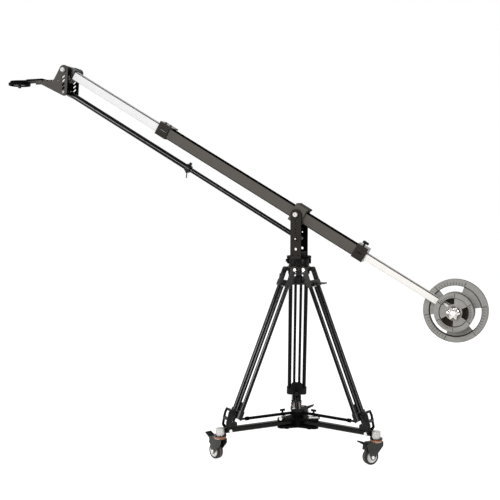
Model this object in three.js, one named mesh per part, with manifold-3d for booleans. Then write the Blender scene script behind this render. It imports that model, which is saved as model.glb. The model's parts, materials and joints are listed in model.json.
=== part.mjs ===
// A camera jib crane: a telescopic boom with a levelling camera head at one end and
// counterweights at the other, on a tripod that stands in a folding three-wheel dolly.
// Millimetres, +Z up. +X runs towards the counterweights, the camera head points to -X.
import * as THREE from 'three';
import { mergeVertices } from 'three/addons/utils/BufferGeometryUtils.js';
import Module from 'manifold-3d';

const wasm = await Module();
wasm.setup();

// Clearances and cuts that every piece shares
const RUN_GAP = 0.4;
const SEAT_GAP = 0.3;
const OVERRUN = 3;
const BITE = 1;
const WELD_TOLERANCE = 0.0005;

// Boom pose and the levelling parallelogram
const BOOM_TILT = 30.3;
const PIVOT_HEIGHT = 1161;
const HEAD_REACH = 1502;
const WEIGHT_REACH = 869;
const PARALLEL_DROP = 117;
const PLATE_THICKNESS = 8;

// Heights of the yoke, pan base and tripod, each hung from the one above
const YOKE_PIVOT_RISE = 213;
const YOKE_PLATE_BOTTOM = PIVOT_HEIGHT - YOKE_PIVOT_RISE;
const YOKE_PLATE_LIFT = 2;
const PAN_BODY_TOP = YOKE_PLATE_BOTTOM - YOKE_PLATE_LIFT;
const PAN_BODY_HEIGHT = 38;
const CROWN_TOP = PAN_BODY_TOP - PAN_BODY_HEIGHT;
const CROWN_HINGE_DROP = 13;
const LEG_HINGE_HEIGHT = CROWN_TOP - CROWN_HINGE_DROP;

// Where the feet stand on the dolly's arms, with the clamps and casters outside them
const FOOT_OUTER_RADIUS = 384;
const FOOT_LENGTH = 40;
const FOOT_INNER_RADIUS = FOOT_OUTER_RADIUS - FOOT_LENGTH;
const FOOT_STANCE_IN = 22.62;
const CLAMP_PIVOT_IN = 3;
const CLAMP_PIVOT_RADIUS = FOOT_OUTER_RADIUS - CLAMP_PIVOT_IN;
const CASTER_CLAMP_GAP = 42;
const CASTER_RADIUS = CLAMP_PIVOT_RADIUS + CASTER_CLAMP_GAP;

// Dolly arms and hub
const LEG_ANGLES = [108.5, 226.7, 347];
const WEB_TURN = 60;
const ARM_TOP_HEIGHT = 152;
const ARM_HEIGHT = 25;
const ARM_WIDTH = 34;
const ARM_CHAMFER = 6;
const ARM_WALL = 2.5;
const ARM_START_RADIUS = 40;
const ARM_END_GAP = 7;
const ARM_PLUG_LENGTH = 26;
const SOCKET_DIAMETER = 40;
const SOCKET_BORE_DEPTH = 22;
const TONGUE_WIDTH = 12;
const HUB_REACH = 88;
const HUB_LOBE_RADIUS = 25;
const HUB_CORE_RADIUS = 42;
const HUB_PLATE_THICKNESS = 9;
const HUB_FLOOR_THICKNESS = 12;
const HUB_COLUMN_RADIUS = 29;
const HUB_COLUMN_HEIGHT = 12;
const HUB_WEB_WIDTH = 14;
const HUB_WEB_REACH = 62;
const HUB_FOOT_RADIUS = 13;
const HUB_FOOT_HEIGHT = 8;
const HUB_FOOT_REACH = 64;
const LOCK_PIN_RADIUS = 8;
const LOCK_PIN_SINK = 4;
const LOCK_PIN_LENGTH = 46;
const LOCK_PIN_HEAD_RADIUS = 10;
const LOCK_PIN_HEAD_LENGTH = 9;
const LOCK_PIN_REACH = 86;
const LOCK_PIN_TURN = 40;

// Foot clamps on the arm ends
const CLAMP_BOLT_RADIUS = 5;
const CLAMP_BOLT_HEAD_RADIUS = 8;
const CLAMP_BOLT_HEAD_LENGTH = 4;
const CLAMP_EYE_RADIUS = 9.5;
const CLAMP_STRAP_THICKNESS = 4;
const CLAMP_STRAP_GAP = 4.6;
const CLAMP_BAR_RADIUS = 6;
const CLAMP_ELBOW_OUT = 17;
const CLAMP_ELBOW_RISE = 24;
const CLAMP_KNEE_OUT = 6;
const CLAMP_KNEE_RISE = 78;
const CLAMP_TOP_OUT = -3;
const CLAMP_TOP_RISE = 97;
const CLAMP_HOOK_IN = 20;
const CLAMP_HOOK_RADIUS = 7;
const CLAMP_GRIP_RISE = 58;
const CLAMP_GRIP_LENGTH = 12;

// Casters
const WHEEL_DIAMETER = 75;
const WHEEL_WIDTH = 30;
const WHEEL_CHAMFER = 4;
const WHEEL_RIM_RADIUS = 27;
const WHEEL_DISH = 5;
const WHEEL_BOSS_RADIUS = 10;
const CASTER_TRAIL = 32;
const CASTER_TURNS = [-105, -76.3, -119.8];
const AXLE_RADIUS = 4;
const AXLE_HEAD_RADIUS = 8;
const AXLE_HEAD_LENGTH = 4;
const FORK_THICKNESS = 3;
const FORK_SIDE_GAP = 2;
const FORK_TOP_HEIGHT = 106;
const FORK_FRONT = 27;
const FORK_BACK = 50;
const FORK_SKIRT = 20;
const FORK_EYE_RADIUS = 12;
const RING_RADIUS = 28.5;
const RING_THICKNESS = 10;
const RACE_RADIUS = 30;
const RACE_THICKNESS = 5;
const STEM_RADIUS = 7;
const STEM_LENGTH = 18;
const PEDAL_PIN_RADIUS = 3;
const PEDAL_PIN_BACK = 55;
const PEDAL_PIN_DROP = 10;
const PEDAL_EAR_RADIUS = 8;
const PEDAL_HUB_RADIUS = 7;
const PEDAL_TIP_OUT = 40;
const PEDAL_TIP_RISE = 18;
const PEDAL_TIP_RADIUS = 3;
const PEDAL_WIDTH = 32;
const PEDAL_SHOE_OUT = 7;
const PEDAL_SHOE_DROP = 21;
const PEDAL_SHOE_RADIUS = 5;

// Ground spreader between the legs
const SPREADER_HUB_RADIUS = 35;
const SPREADER_HUB_THICKNESS = 16;
const SPREADER_HEIGHT = 182;
const SPREADER_SLOT_WIDTH = 17;
const SPREADER_ROOT_RADIUS = 20;
const SPREADER_ROD_RADIUS = 7.5;
const SPREADER_TIP_ROD_RADIUS = 5.5;
const SPREADER_TIP_LENGTH = 34;
const SPREADER_KNUCKLE_SIZE = 10;
const SPREADER_KNUCKLE_LENGTH = 16;
const SPREADER_COLLAR_RADIUS = 8.2;
const SPREADER_KNOB_RADIUS = 88;
const SPREADER_KNOB_HEIGHT = 20;
const SPREADER_KNOB_STEM = 5;
const SPREADER_WING_LENGTH = 26;
const SPREADER_WING_WIDTH = 7;

// Tripod crown and legs
const CROWN_RING_RADIUS = 57;
const CROWN_RING_HEIGHT = 15;
const BOWL_RADIUS = 50;
const BOWL_RISE = 4;
const CROWN_LUG_START = 45;
const CROWN_LUG_OFFSET = 31;
const CROWN_LUG_THICKNESS = 11;
const CROWN_LUG_DROP = 3;
const CROWN_LUG_HEIGHT = 21;
const CROWN_LUG_OVERHANG = 9;
const CROWN_SPIDER_DROP = 40;
const CROWN_SPIDER_HEIGHT = CROWN_TOP - CROWN_SPIDER_DROP;
const CROWN_SPIDER_THICKNESS = 9;
const CROWN_SPIDER_BORE = 19;
const CROWN_SPIDER_RADIUS = 27;
const CROWN_POST_RADIUS = 44;
const CROWN_POST_WIDTH = 14;
const LEG_HINGE_RADIUS = 54.5;
const HINGE_BOLT_RADIUS = 5;
const HINGE_BOLT_HEAD_RADIUS = 8;
const HINGE_BOLT_HEAD_LENGTH = 3;
const TOP_ARM_OFFSET = 44;
const TOP_ARM_THICKNESS = 12;
const TOP_ARM_RADIUS = 11;
const TUBE_OFFSET = 1;
const TOP_SOCKET_START = 58;
const TOP_SOCKET_LENGTH = 31;
const TOP_SOCKET_FLOOR = 8;
const CASTING_WALL = 3;
const OUTER_TUBE_RADIUS = 9.8;
const OUTER_TUBE_WALL = 1.5;
const OUTER_TUBE_SPACING = 78;
const INNER_TUBE_RADIUS = 7;
const INNER_TUBE_WALL = 1.5;
const INNER_TUBE_SPACING = 27;
const INNER_TUBE_OUT = 12;
const INNER_TUBE_TOP_GAP = 4;
const LOWER_CASTING_RISE = 45.6;
const LOWER_CASTING_LENGTH = 40;
const LOWER_CASTING_WALL = 4.7;
const LOWER_WEB_RISE = 38;
const LOWER_WEB_THICKNESS = 6;
const LOWER_WEB_RADIUS = 16;
const SPREADER_LUG_WIDTH = 16;
const SPREADER_LUG_HEIGHT = 16;
const SPREADER_LUG_IN = 33.1;
const FOOT_WIDTH = 42;
const FOOT_POST_WIDTH = 34;
const FOOT_SHOULDER_HEIGHT = 23;
const FOOT_SHOULDER_IN = 26.5;
const FOOT_SHOULDER_RADIUS = FOOT_OUTER_RADIUS - FOOT_SHOULDER_IN;
const FOOT_POST_IN = 25;
const FOOT_POST_INNER_RADIUS = FOOT_OUTER_RADIUS - FOOT_POST_IN;
const FOOT_POST_HEIGHT = 69;
const FOOT_POST_LEAN = 13;
const LEG_LOCK_STATION = 78;
const LEG_LOCK_HUB_RADIUS = 9;
const LEG_LOCK_HUB_LENGTH = 26;
const LEG_LOCK_PIN_RADIUS = 3;
const LEG_LOCK_EAR_THICKNESS = 5;
const LEG_LOCK_LEVER_LENGTH = 42;
const LEG_LOCK_LEVER_THICKNESS = 7;
const LEG_LOCK_TURNS = [8, 8, 105];

// Pan base and bowl adapter
const PAN_BODY_RADIUS = 52;
const PAN_BODY_TAPER = 10;
const PAN_NECK_HEIGHT = 3;
const PAN_SHAFT_RADIUS = 15;
const PAN_NUT_RADIUS = 35;
const PAN_NUT_DROP = 51;
const PAN_NUT_TOP = CROWN_TOP - PAN_NUT_DROP;
const PAN_NUT_HEIGHT = 33;
const PAN_NUT_CHAMFER = 12;
const PAN_SPINDLE_RADIUS = 12;
const PAN_SPINDLE_LENGTH = 10;
const PAN_KNOB_RADIUS = 8;
const PAN_KNOB_LENGTH = 13;
const PAN_KNOB_STEM_RADIUS = 4;
const PAN_KNOB_DROP = 10;
const PAN_KNOB_HEIGHT = PAN_BODY_TOP - PAN_KNOB_DROP;
const PAN_KNOB_TURNS = [198, 18];

// Yoke that carries the boom
const YOKE_SPACING = 110;
const YOKE_HALF_WIDTH = 27;
const YOKE_BASE_RADIUS = 60;
const YOKE_BASE_THICKNESS = 13;
const YOKE_BLOCK_LENGTH = 48;
const YOKE_BLOCK_HEIGHT = 20;
const YOKE_HOLE_DROPS = [28.5, 45.5, 71, 87.5];
const YOKE_HOLE_RADIUS = 4;
const YOKE_BIG_HOLE_DROP = 167;
const YOKE_BIG_HOLE_RADIUS = 7;
const AXLE_SHAFT_RADIUS = 12.5;
const AXLE_FLANGE_RADIUS = 17;
const AXLE_FLANGE_THICKNESS = 4;
const AXLE_NOSE_LENGTH = 10;
const HEAD_KNOB_END_RADIUS = 26;
const HEAD_KNOB_END_LENGTH = 37;
const ROD_PIN_RADIUS = 6;
const ROD_PIN_HEAD_RADIUS = 9;
const ROD_PIN_HEAD_LENGTH = 4;

// Boom tubes and the saddle
const OUTER_HEIGHT = 59;
const OUTER_WIDTH = 46;
const OUTER_WALL = 3;
const OUTER_FRONT = 870;
const OUTER_REAR = 380;
const FRONT_HEIGHT = 44;
const FRONT_WIDTH = 39;
const FRONT_WALL = 2.5;
const FRONT_SAG = 2.5;
const FRONT_OVERLAP = 216;
const FRONT_TIP_GAP = 47;
const REAR_SIZE = 35;
const REAR_WALL = 2.5;
const REAR_SAG = 1.5;
const REAR_OVERLAP = 150;
const REAR_END_LENGTH = 25;
const REAR_CAP_THICKNESS = 4;
const SADDLE_FRONT = 30;
const SADDLE_REAR = 33;
const SADDLE_HALF_WIDTH = 40;
const SADDLE_HALF_HEIGHT = 38.5;
const SADDLE_SLAB_THICKNESS = 9;
const SADDLE_SLAB_OVERHANG = 4;
const SADDLE_BOSS_RADIUS = 20;
const SADDLE_TOE_LENGTH = 16;
const SADDLE_TOE_DEPTH = 5;
const COLLAR_SIDE = 8;
const COLLAR_BOTTOM = 4;
const COLLAR_TOP = 8;
const COLLAR_LIP = 5;
const COLLAR_SLOT_LENGTH_SHARE = 0.5;
const COLLAR_SLOT_WIDTH = 5;
const COLLAR_SLOT_DEPTH = 3;
const FRONT_COLLAR_LENGTH = 66;
const REAR_COLLAR_LENGTH = 58;
const FRONT_SLAB_OVERHANG = 16;
const REAR_SLAB_OVERHANG = 1;
const KNOB_STEM_RADIUS = 5;
const KNOB_STEM_LENGTH = 9;
const KNOB_LOBE_RADIUS = 7;
const KNOB_LOBE_REACH = 12;
const KNOB_THICKNESS = 12;
const KNOB_LOBE_COUNT = 3;

// Parallel rod
const ROD_RADIUS = 12;
const ROD_WALL = 2;
const ROD_SLEEVE_RADIUS = 15;
const ROD_SLEEVE_WALL = 2.5;
const ROD_SLEEVE_START = 676;
const ROD_OVERLAP = 130;
const ROD_EYE_RADIUS = 17;
const ROD_EYE_WIDTH = 26;
const ROD_EYE_REACH = 26;
const ROD_SPACER_RADIUS = 10;
const ROD_CLAMP_CENTRE = 689;
const ROD_CLAMP_LENGTH = 26;
const ROD_CLAMP_RADIUS = 20;
const ROD_CLAMP_EAR_RADIUS = 8;
const ROD_CLAMP_EAR_REACH = 24;
const ROD_CLAMP_LEVER_RADIUS = 3;
const ROD_CLAMP_LEVER_LENGTH = 36;
const ROD_CLAMP_LEVER_TURN = 25;

// Camera head
const HEAD_SPACING = 107;
const HEAD_LOBE_RADIUS = 27;
const HEAD_TOE_RADIUS = 19;
const HEAD_KNEE_OUT = 62;
const HEAD_ARM_TOP_DROP = 48;
const HEAD_ARM_DEPTH = 21.5;
const HEAD_ARM_KNEE_OUT = 142;
const HEAD_ARM_LENGTH = 176;
const HEAD_SLOT_COUNT = 4;
const HEAD_SLOT_FIRST_DROP = 35;
const HEAD_SLOT_PITCH = 20.5;
const HEAD_SLOT_OUT = 3;
const HEAD_SLOT_LENGTH = 23;
const HEAD_SLOT_WIDTH = 10;
const HEAD_SLOT_TURN = 37;
const HEAD_HOLE_OUT = 38;
const HEAD_HOLE_DROP = 54;
const HEAD_HOLE_RADIUS = 3.5;
const HEAD_NOTCH_COUNT = 3;
const HEAD_NOTCH_FIRST_OUT = 72;
const HEAD_NOTCH_PITCH = 29.5;
const HEAD_NOTCH_RADIUS = 3.25;
const HEAD_NOTCH_DEPTH = 8.5;
const END_BLOCK_HALF_WIDTH = 30;
const END_BLOCK_RADIUS = 25;
const END_BLOCK_PLUG_LENGTH = 28;
const END_TAB_START = 20;
const END_TAB_LENGTH = 26;
const END_TAB_DROP = 47;
const END_TAB_HALF_WIDTH = 18;
const PLATFORM_THICKNESS = 9;
const PLATFORM_START = 136;
const PLATFORM_BLOCK_END = 236;
const PLATFORM_NECK_WIDTH = 62;
const PLATFORM_END_RADIUS = 50;
const PLATFORM_HOLE_RADIUS = 4;
const PLATFORM_HOLE_COUNT = 3;
const PLATFORM_HOLE_PITCH = 26;
const PLATFORM_HOLE_START = 158;
const PLATFORM_HOLE_SPACING = 58;
const RING_CENTRE_OUT = 321;
const CAMERA_RING_RADIUS = 59;
const CAMERA_RING_HEIGHT = 14;
const CAMERA_RING_RIM = 5;
const CAMERA_RING_FLOOR = 5;
const CAMERA_RING_BORE = 24;
const HEAD_KNOB_RADIUS = 31;
const HEAD_KNOB_HEIGHT = 7;
const HEAD_KNOB_STEM_RADIUS = 9;
const HEAD_KNOB_STEM_LENGTH = 12;
const HEAD_KNOB_GRIP_LENGTH = 15;

// Counterweights
const BIG_PLATE_RADIUS = 148;
const BIG_PLATE_THICKNESS = 34;
const SMALL_PLATE_RADIUS = 90;
const SMALL_PLATE_THICKNESS = 25;
const BIG_RIM_SHARE = 0.82;
const SMALL_RIM_SHARE = 0.75;
const PLATE_EDGE_SHARE = 0.96;
const PLATE_HUB_SHARE = 0.27;
const PLATE_WEB_SHARE = 0.42;
const BIG_OPENING_SHARE = 0.6;
const SMALL_OPENING_SHARE = 0.42;
const OPENING_EDGE_SHARE = 0.97;
const PLATE_OPENING_ANGLE = 58;
const PLATE_OPENING_COUNT = 3;
const BIG_PLATE_TURN = 131;
const SMALL_PLATE_TURN = 148;
const WEIGHT_SHAFT_RADIUS = 12;
const WEIGHT_FLANGE_RADIUS = 26;
const WEIGHT_FLANGE_THICKNESS = 5;
const WEIGHT_SHAFT_NOSE = 6;
const NUT_TIP_RADIUS = 31;
const NUT_VALLEY_RADIUS = 21;
const NUT_POINT_COUNT = 6;
const NUT_STAR_THICKNESS = 18;
const NUT_FLANGE_RADIUS = 24;
const NUT_FLANGE_THICKNESS = 6;

// Facets round the curved faces
const FINE_SIDES = 24;
const ROUND_SIDES = 18;
const PLAIN_SIDES = 12;
const SMALL_SIDES = 8;

const RIGHT_ANGLE = Math.PI / 2;
const HALF_TURN = Math.PI;
const FULL_TURN = Math.PI * 2;

function radians(degrees) {
  return THREE.MathUtils.degToRad(degrees);
}

// A closed three.js geometry as a solid that can be joined and cut
function solidOf(geometry) {
  const bare = geometry.clone();
  bare.deleteAttribute('normal');
  bare.deleteAttribute('uv');
  const welded = mergeVertices(bare, WELD_TOLERANCE);
  const corners = [];
  const index = welded.index.array;
  for (let i = 0; i < index.length; i += 3) {
    const [a, b, c] = [index[i], index[i + 1], index[i + 2]];
    if (a !== b && b !== c && c !== a) {
      corners.push(a, b, c);
    }
  }
  return new wasm.Manifold(new wasm.Mesh({
    numProp: 3,
    vertProperties: Float32Array.from(welded.attributes.position.array),
    triVerts: Uint32Array.from(corners),
  }));
}

function geometryOf(solid) {
  const mesh = solid.getMesh();
  const geometry = new THREE.BufferGeometry();
  geometry.setAttribute('position', new THREE.BufferAttribute(mesh.vertProperties, mesh.numProp));
  geometry.setIndex(new THREE.BufferAttribute(mesh.triVerts, 1));
  geometry.computeVertexNormals();
  return geometry;
}

function join(geometries) {
  let solid = solidOf(geometries[0]);
  for (const geometry of geometries.slice(1)) {
    solid = solid.add(solidOf(geometry));
  }
  return geometryOf(solid);
}

function cut(geometry, cutters) {
  let solid = solidOf(geometry);
  for (const cutter of cutters) {
    solid = solid.subtract(solidOf(cutter));
  }
  return geometryOf(solid);
}

function overlapOf(geometry, other) {
  return geometryOf(solidOf(geometry).intersect(solidOf(other)));
}

// A box from its low corner to its high corner
function block(low, high) {
  const size = high.map((value, axis) => value - low[axis]);
  const geometry = new THREE.BoxGeometry(...size);
  return geometry.translate(...low.map((value, axis) => value + size[axis] / 2));
}

// A box that is centred across the machine, in Y
function beam(fromX, toX, width, fromZ, toZ) {
  return block([fromX, -width / 2, fromZ], [toX, width / 2, toZ]);
}

function alongX(geometry) {
  return geometry.rotateZ(-RIGHT_ANGLE);
}

function alongZ(geometry) {
  return geometry.rotateX(RIGHT_ANGLE);
}

// Round bars between two stations on an axis
function barY(radius, from, to, x, z, sides) {
  const geometry = new THREE.CylinderGeometry(radius, radius, to - from, sides);
  return geometry.translate(x, (from + to) / 2, z);
}

function barX(radius, from, to, y, z, sides) {
  const geometry = alongX(new THREE.CylinderGeometry(radius, radius, to - from, sides));
  return geometry.translate((from + to) / 2, y, z);
}

function barZ(radius, from, to, x, y, sides) {
  const geometry = alongZ(new THREE.CylinderGeometry(radius, radius, to - from, sides));
  return geometry.translate(x, y, (from + to) / 2);
}

// A turned piece about Z from [radius, height] points, bottom to top round the outside
function turned(points, sides) {
  const profile = points.map(([radius, height]) => new THREE.Vector2(radius, height));
  return alongZ(new THREE.LatheGeometry(profile, sides));
}

function ring(outer, inner, from, to, sides) {
  const points = [[inner, from], [outer, from], [outer, to], [inner, to], [inner, from]];
  return turned(points, sides);
}

// The outline that wraps a set of [x, y, radius] discs
function wrapped(discs, sides) {
  const points = [];
  for (const [x, y, radius] of discs) {
    for (let i = 0; i < sides; i += 1) {
      const angle = (i / sides) * FULL_TURN;
      points.push([x + radius * Math.cos(angle), y + radius * Math.sin(angle)]);
    }
  }
  points.sort((a, b) => a[0] - b[0] || a[1] - b[1]);
  const turn = (o, a, b) => (a[0] - o[0]) * (b[1] - o[1]) - (a[1] - o[1]) * (b[0] - o[0]);
  const chain = (list) => {
    const kept = [];
    for (const point of list) {
      while (kept.length > 1 && turn(kept[kept.length - 2], kept[kept.length - 1], point) <= 0) {
        kept.pop();
      }
      kept.push(point);
    }
    kept.pop();
    return kept;
  };
  return [...chain(points), ...chain(points.slice().reverse())];
}

function shapeOf(points) {
  return new THREE.Shape(points.map(([x, y]) => new THREE.Vector2(x, y)));
}

// An outline in the XY plane, raised from one height to another
function slabZ(points, from, to) {
  const settings = { depth: to - from, bevelEnabled: false };
  return new THREE.ExtrudeGeometry(shapeOf(points), settings).translate(0, 0, from);
}

// An outline in the XZ plane, thick in Y
function slabY(points, from, to) {
  const settings = { depth: to - from, bevelEnabled: false };
  const geometry = new THREE.ExtrudeGeometry(shapeOf(points), settings);
  return geometry.rotateX(RIGHT_ANGLE).translate(0, to, 0);
}

function turnedAboutZ(geometry, degrees) {
  return geometry.clone().rotateZ(radians(degrees));
}

// A rectangular tube along X, open at both ends
function squareTube(from, to, width, height, wall, centreZ) {
  const outside = beam(from, to, width, centreZ - height / 2, centreZ + height / 2);
  const inside = beam(
    from - OVERRUN,
    to + OVERRUN,
    width - wall * 2,
    centreZ - height / 2 + wall,
    centreZ + height / 2 - wall,
  );
  return cut(outside, [inside]);
}

// A star or lobed knob outline
function starPoints(tipRadius, valleyRadius, count) {
  const points = [];
  for (let i = 0; i < count * 2; i += 1) {
    const radius = i % 2 === 0 ? tipRadius : valleyRadius;
    const angle = (i / (count * 2)) * FULL_TURN;
    points.push([radius * Math.cos(angle), radius * Math.sin(angle)]);
  }
  return points;
}

// Materials, from the photograph
function finish(colour, roughness, metalness) {
  return new THREE.MeshStandardMaterial({ color: colour, roughness, metalness });
}

const graphite = () => finish('#5a5652', 0.55, 0.3);
const blackCoat = () => finish('#262423', 0.5, 0.3);
const blackPlastic = () => finish('#191818', 0.6, 0);
const bareAluminium = () => finish('#dcdcde', 0.35, 0.8);
const brightSteel = () => finish('#d9d6d2', 0.25, 1);
const greyPlate = () => finish('#69675f', 0.55, 0.3);
const castGrey = () => finish('#a5a09b', 0.6, 0.5);
const forkGrey = () => finish('#4b544e', 0.4, 0.6);
const tyreBrown = () => finish('#4a423f', 0.8, 0);

function piece(name, geometry, material) {
  const mesh = new THREE.Mesh(geometry, material);
  mesh.name = name;
  return mesh;
}

function groupOf(children) {
  const group = new THREE.Group();
  group.add(...children);
  return group;
}

// Dolly

const armTop = ARM_TOP_HEIGHT;
const armBottom = armTop - ARM_HEIGHT;
const armMiddle = armTop - ARM_HEIGHT / 2;
const armEnd = CASTER_RADIUS - SOCKET_DIAMETER / 2 - ARM_END_GAP;
const hubFloorTop = armBottom - SEAT_GAP;
const hubFloorBottom = hubFloorTop - HUB_FLOOR_THICKNESS;
const hubRoofBottom = armTop + SEAT_GAP;
const hubRoofTop = hubRoofBottom + HUB_PLATE_THICKNESS;
const hubColumnTop = hubRoofTop + HUB_COLUMN_HEIGHT;
const ringBottom = FORK_TOP_HEIGHT;
const raceBottom = ringBottom + RING_THICKNESS;
const raceTop = raceBottom + RACE_THICKNESS;
const socketBottom = raceTop + SEAT_GAP;

function lockPin() {
  const height = hubRoofTop + LOCK_PIN_RADIUS - LOCK_PIN_SINK;
  const half = LOCK_PIN_LENGTH / 2;
  const pin = join([
    barX(LOCK_PIN_RADIUS, -half, half, 0, height, SMALL_SIDES),
    barX(LOCK_PIN_HEAD_RADIUS - BITE, half, half + LOCK_PIN_HEAD_LENGTH, 0, height, SMALL_SIDES),
    barX(LOCK_PIN_RADIUS / 2, half - BITE, half + BITE, 0, height, SMALL_SIDES),
  ]);
  return pin.rotateZ(radians(LOCK_PIN_TURN)).translate(LOCK_PIN_REACH, 0, 0);
}

function dollyHub() {
  const pieces = [];
  const centreDisc = [0, 0, HUB_CORE_RADIUS];
  for (const angle of LEG_ANGLES) {
    const outline = wrapped([centreDisc, [HUB_REACH, 0, HUB_LOBE_RADIUS]], ROUND_SIDES);
    const foot = barZ(
      HUB_FOOT_RADIUS,
      hubFloorBottom - HUB_FOOT_HEIGHT,
      hubFloorBottom + BITE,
      HUB_FOOT_REACH,
      0,
      PLAIN_SIDES,
    );
    const arm = [
      slabZ(outline, hubFloorBottom, hubFloorTop),
      slabZ(outline, hubRoofBottom, hubRoofTop),
      foot,
      lockPin(),
    ];
    pieces.push(...arm.map((geometry) => turnedAboutZ(geometry, angle)));
    const web = beam(0, HUB_WEB_REACH, HUB_WEB_WIDTH, hubFloorTop - BITE, hubRoofBottom + BITE);
    pieces.push(turnedAboutZ(web, angle + WEB_TURN));
  }
  const core = ARM_START_RADIUS - OVERRUN;
  pieces.push(barZ(core, hubFloorTop - BITE, hubRoofBottom + BITE, 0, 0, ROUND_SIDES));
  pieces.push(barZ(HUB_COLUMN_RADIUS, hubRoofTop - BITE, hubColumnTop, 0, 0, ROUND_SIDES));
  return join(pieces);
}

// The arm's section, a rectangle with bevelled edges, taken in by a wall thickness
function armSection(from, to, inset) {
  const y = ARM_WIDTH / 2 - inset;
  const z = ARM_HEIGHT / 2 - inset;
  const bevel = ARM_CHAMFER - inset / 2;
  const points = [
    [y, z - bevel],
    [y - bevel, z],
    [bevel - y, z],
    [-y, z - bevel],
    [-y, bevel - z],
    [bevel - y, -z],
    [y - bevel, -z],
    [y, bevel - z],
  ];
  const settings = { depth: to - from, bevelEnabled: false };
  const upright = new THREE.ExtrudeGeometry(shapeOf(points), settings);
  return upright.rotateX(RIGHT_ANGLE).rotateZ(RIGHT_ANGLE).translate(from, 0, armMiddle);
}

function dollyArm() {
  const tube = cut(armSection(ARM_START_RADIUS, armEnd, 0), [
    armSection(ARM_START_RADIUS - OVERRUN, armEnd - ARM_PLUG_LENGTH, ARM_WALL),
  ]);
  const tongue = beam(armEnd - BITE, CASTER_RADIUS, TONGUE_WIDTH, socketBottom + BITE, armTop - BITE);
  const socket = barZ(SOCKET_DIAMETER / 2, socketBottom, armTop, CASTER_RADIUS, 0, ROUND_SIDES);
  const headStart = ARM_WIDTH / 2 + CLAMP_STRAP_GAP + CLAMP_STRAP_THICKNESS + RUN_GAP;
  const headEnd = headStart + CLAMP_BOLT_HEAD_LENGTH;
  const boltSpan = [CLAMP_BOLT_RADIUS, -headStart - BITE, headStart + BITE];
  const bolt = barY(...boltSpan, CLAMP_PIVOT_RADIUS, armMiddle, SMALL_SIDES);
  const washer = CLAMP_STRAP_GAP - RUN_GAP + ARM_WIDTH / 2;
  const washers = barY(
    CLAMP_BOLT_HEAD_RADIUS,
    -washer,
    washer,
    CLAMP_PIVOT_RADIUS,
    armMiddle,
    PLAIN_SIDES,
  );
  const heads = [[headStart, headEnd], [-headEnd, -headStart]].map(([from, to]) => (
    barY(CLAMP_BOLT_HEAD_RADIUS, from, to, CLAMP_PIVOT_RADIUS, armMiddle, PLAIN_SIDES)
  ));
  const body = join([tube, tongue, socket, bolt, washers, ...heads]);
  const bore = barZ(
    STEM_RADIUS + RUN_GAP,
    socketBottom - OVERRUN,
    socketBottom + SOCKET_BORE_DEPTH,
    CASTER_RADIUS,
    0,
    PLAIN_SIDES,
  );
  return cut(body, [bore]);
}

const footPostTop = armTop + SEAT_GAP + FOOT_POST_HEIGHT;

function clampOutline() {
  const x = CLAMP_PIVOT_RADIUS;
  const z = armMiddle;
  const elbow = [x + CLAMP_ELBOW_OUT, z + CLAMP_ELBOW_RISE, CLAMP_BAR_RADIUS];
  const knee = [x + CLAMP_KNEE_OUT, z + CLAMP_KNEE_RISE, CLAMP_BAR_RADIUS];
  const top = [x + CLAMP_TOP_OUT, z + CLAMP_TOP_RISE, CLAMP_BAR_RADIUS];
  const hook = [x - CLAMP_HOOK_IN, footPostTop + SEAT_GAP + CLAMP_HOOK_RADIUS, CLAMP_HOOK_RADIUS];
  return { eye: [x, z, CLAMP_EYE_RADIUS], elbow, knee, top, hook };
}

function footClamp() {
  const { eye, elbow, knee, top, hook } = clampOutline();
  const inside = ARM_WIDTH / 2 + CLAMP_STRAP_GAP;
  const outside = inside + CLAMP_STRAP_THICKNESS;
  const legs = [];
  for (const [from, to] of [[inside, outside], [-outside, -inside]]) {
    legs.push(slabY(wrapped([eye, elbow], SMALL_SIDES), from, to));
    legs.push(slabY(wrapped([elbow, knee], SMALL_SIDES), from, to));
    legs.push(slabY(wrapped([knee, top], SMALL_SIDES), from, to));
  }
  const bridge = slabY(wrapped([top, hook], SMALL_SIDES), -outside, outside);
  const grip = beam(
    CLAMP_PIVOT_RADIUS + CLAMP_KNEE_OUT,
    CLAMP_PIVOT_RADIUS + CLAMP_ELBOW_OUT,
    outside * 2,
    armMiddle + CLAMP_GRIP_RISE - CLAMP_GRIP_LENGTH / 2,
    armMiddle + CLAMP_GRIP_RISE + CLAMP_GRIP_LENGTH / 2,
  );
  const body = join([...legs, bridge, grip]);
  const bore = barY(
    CLAMP_BOLT_RADIUS + RUN_GAP,
    -outside - OVERRUN,
    outside + OVERRUN,
    CLAMP_PIVOT_RADIUS,
    armMiddle,
    PLAIN_SIDES,
  );
  return cut(body, [bore]);
}

// Casters, drawn about their own swivel axis with the wheel trailing to +X

const wheelRadius = WHEEL_DIAMETER / 2;
const forkInside = WHEEL_WIDTH / 2 + FORK_SIDE_GAP;
const forkOutside = forkInside + FORK_THICKNESS;
const pedalPinHeight = FORK_TOP_HEIGHT - PEDAL_PIN_DROP;

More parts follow.
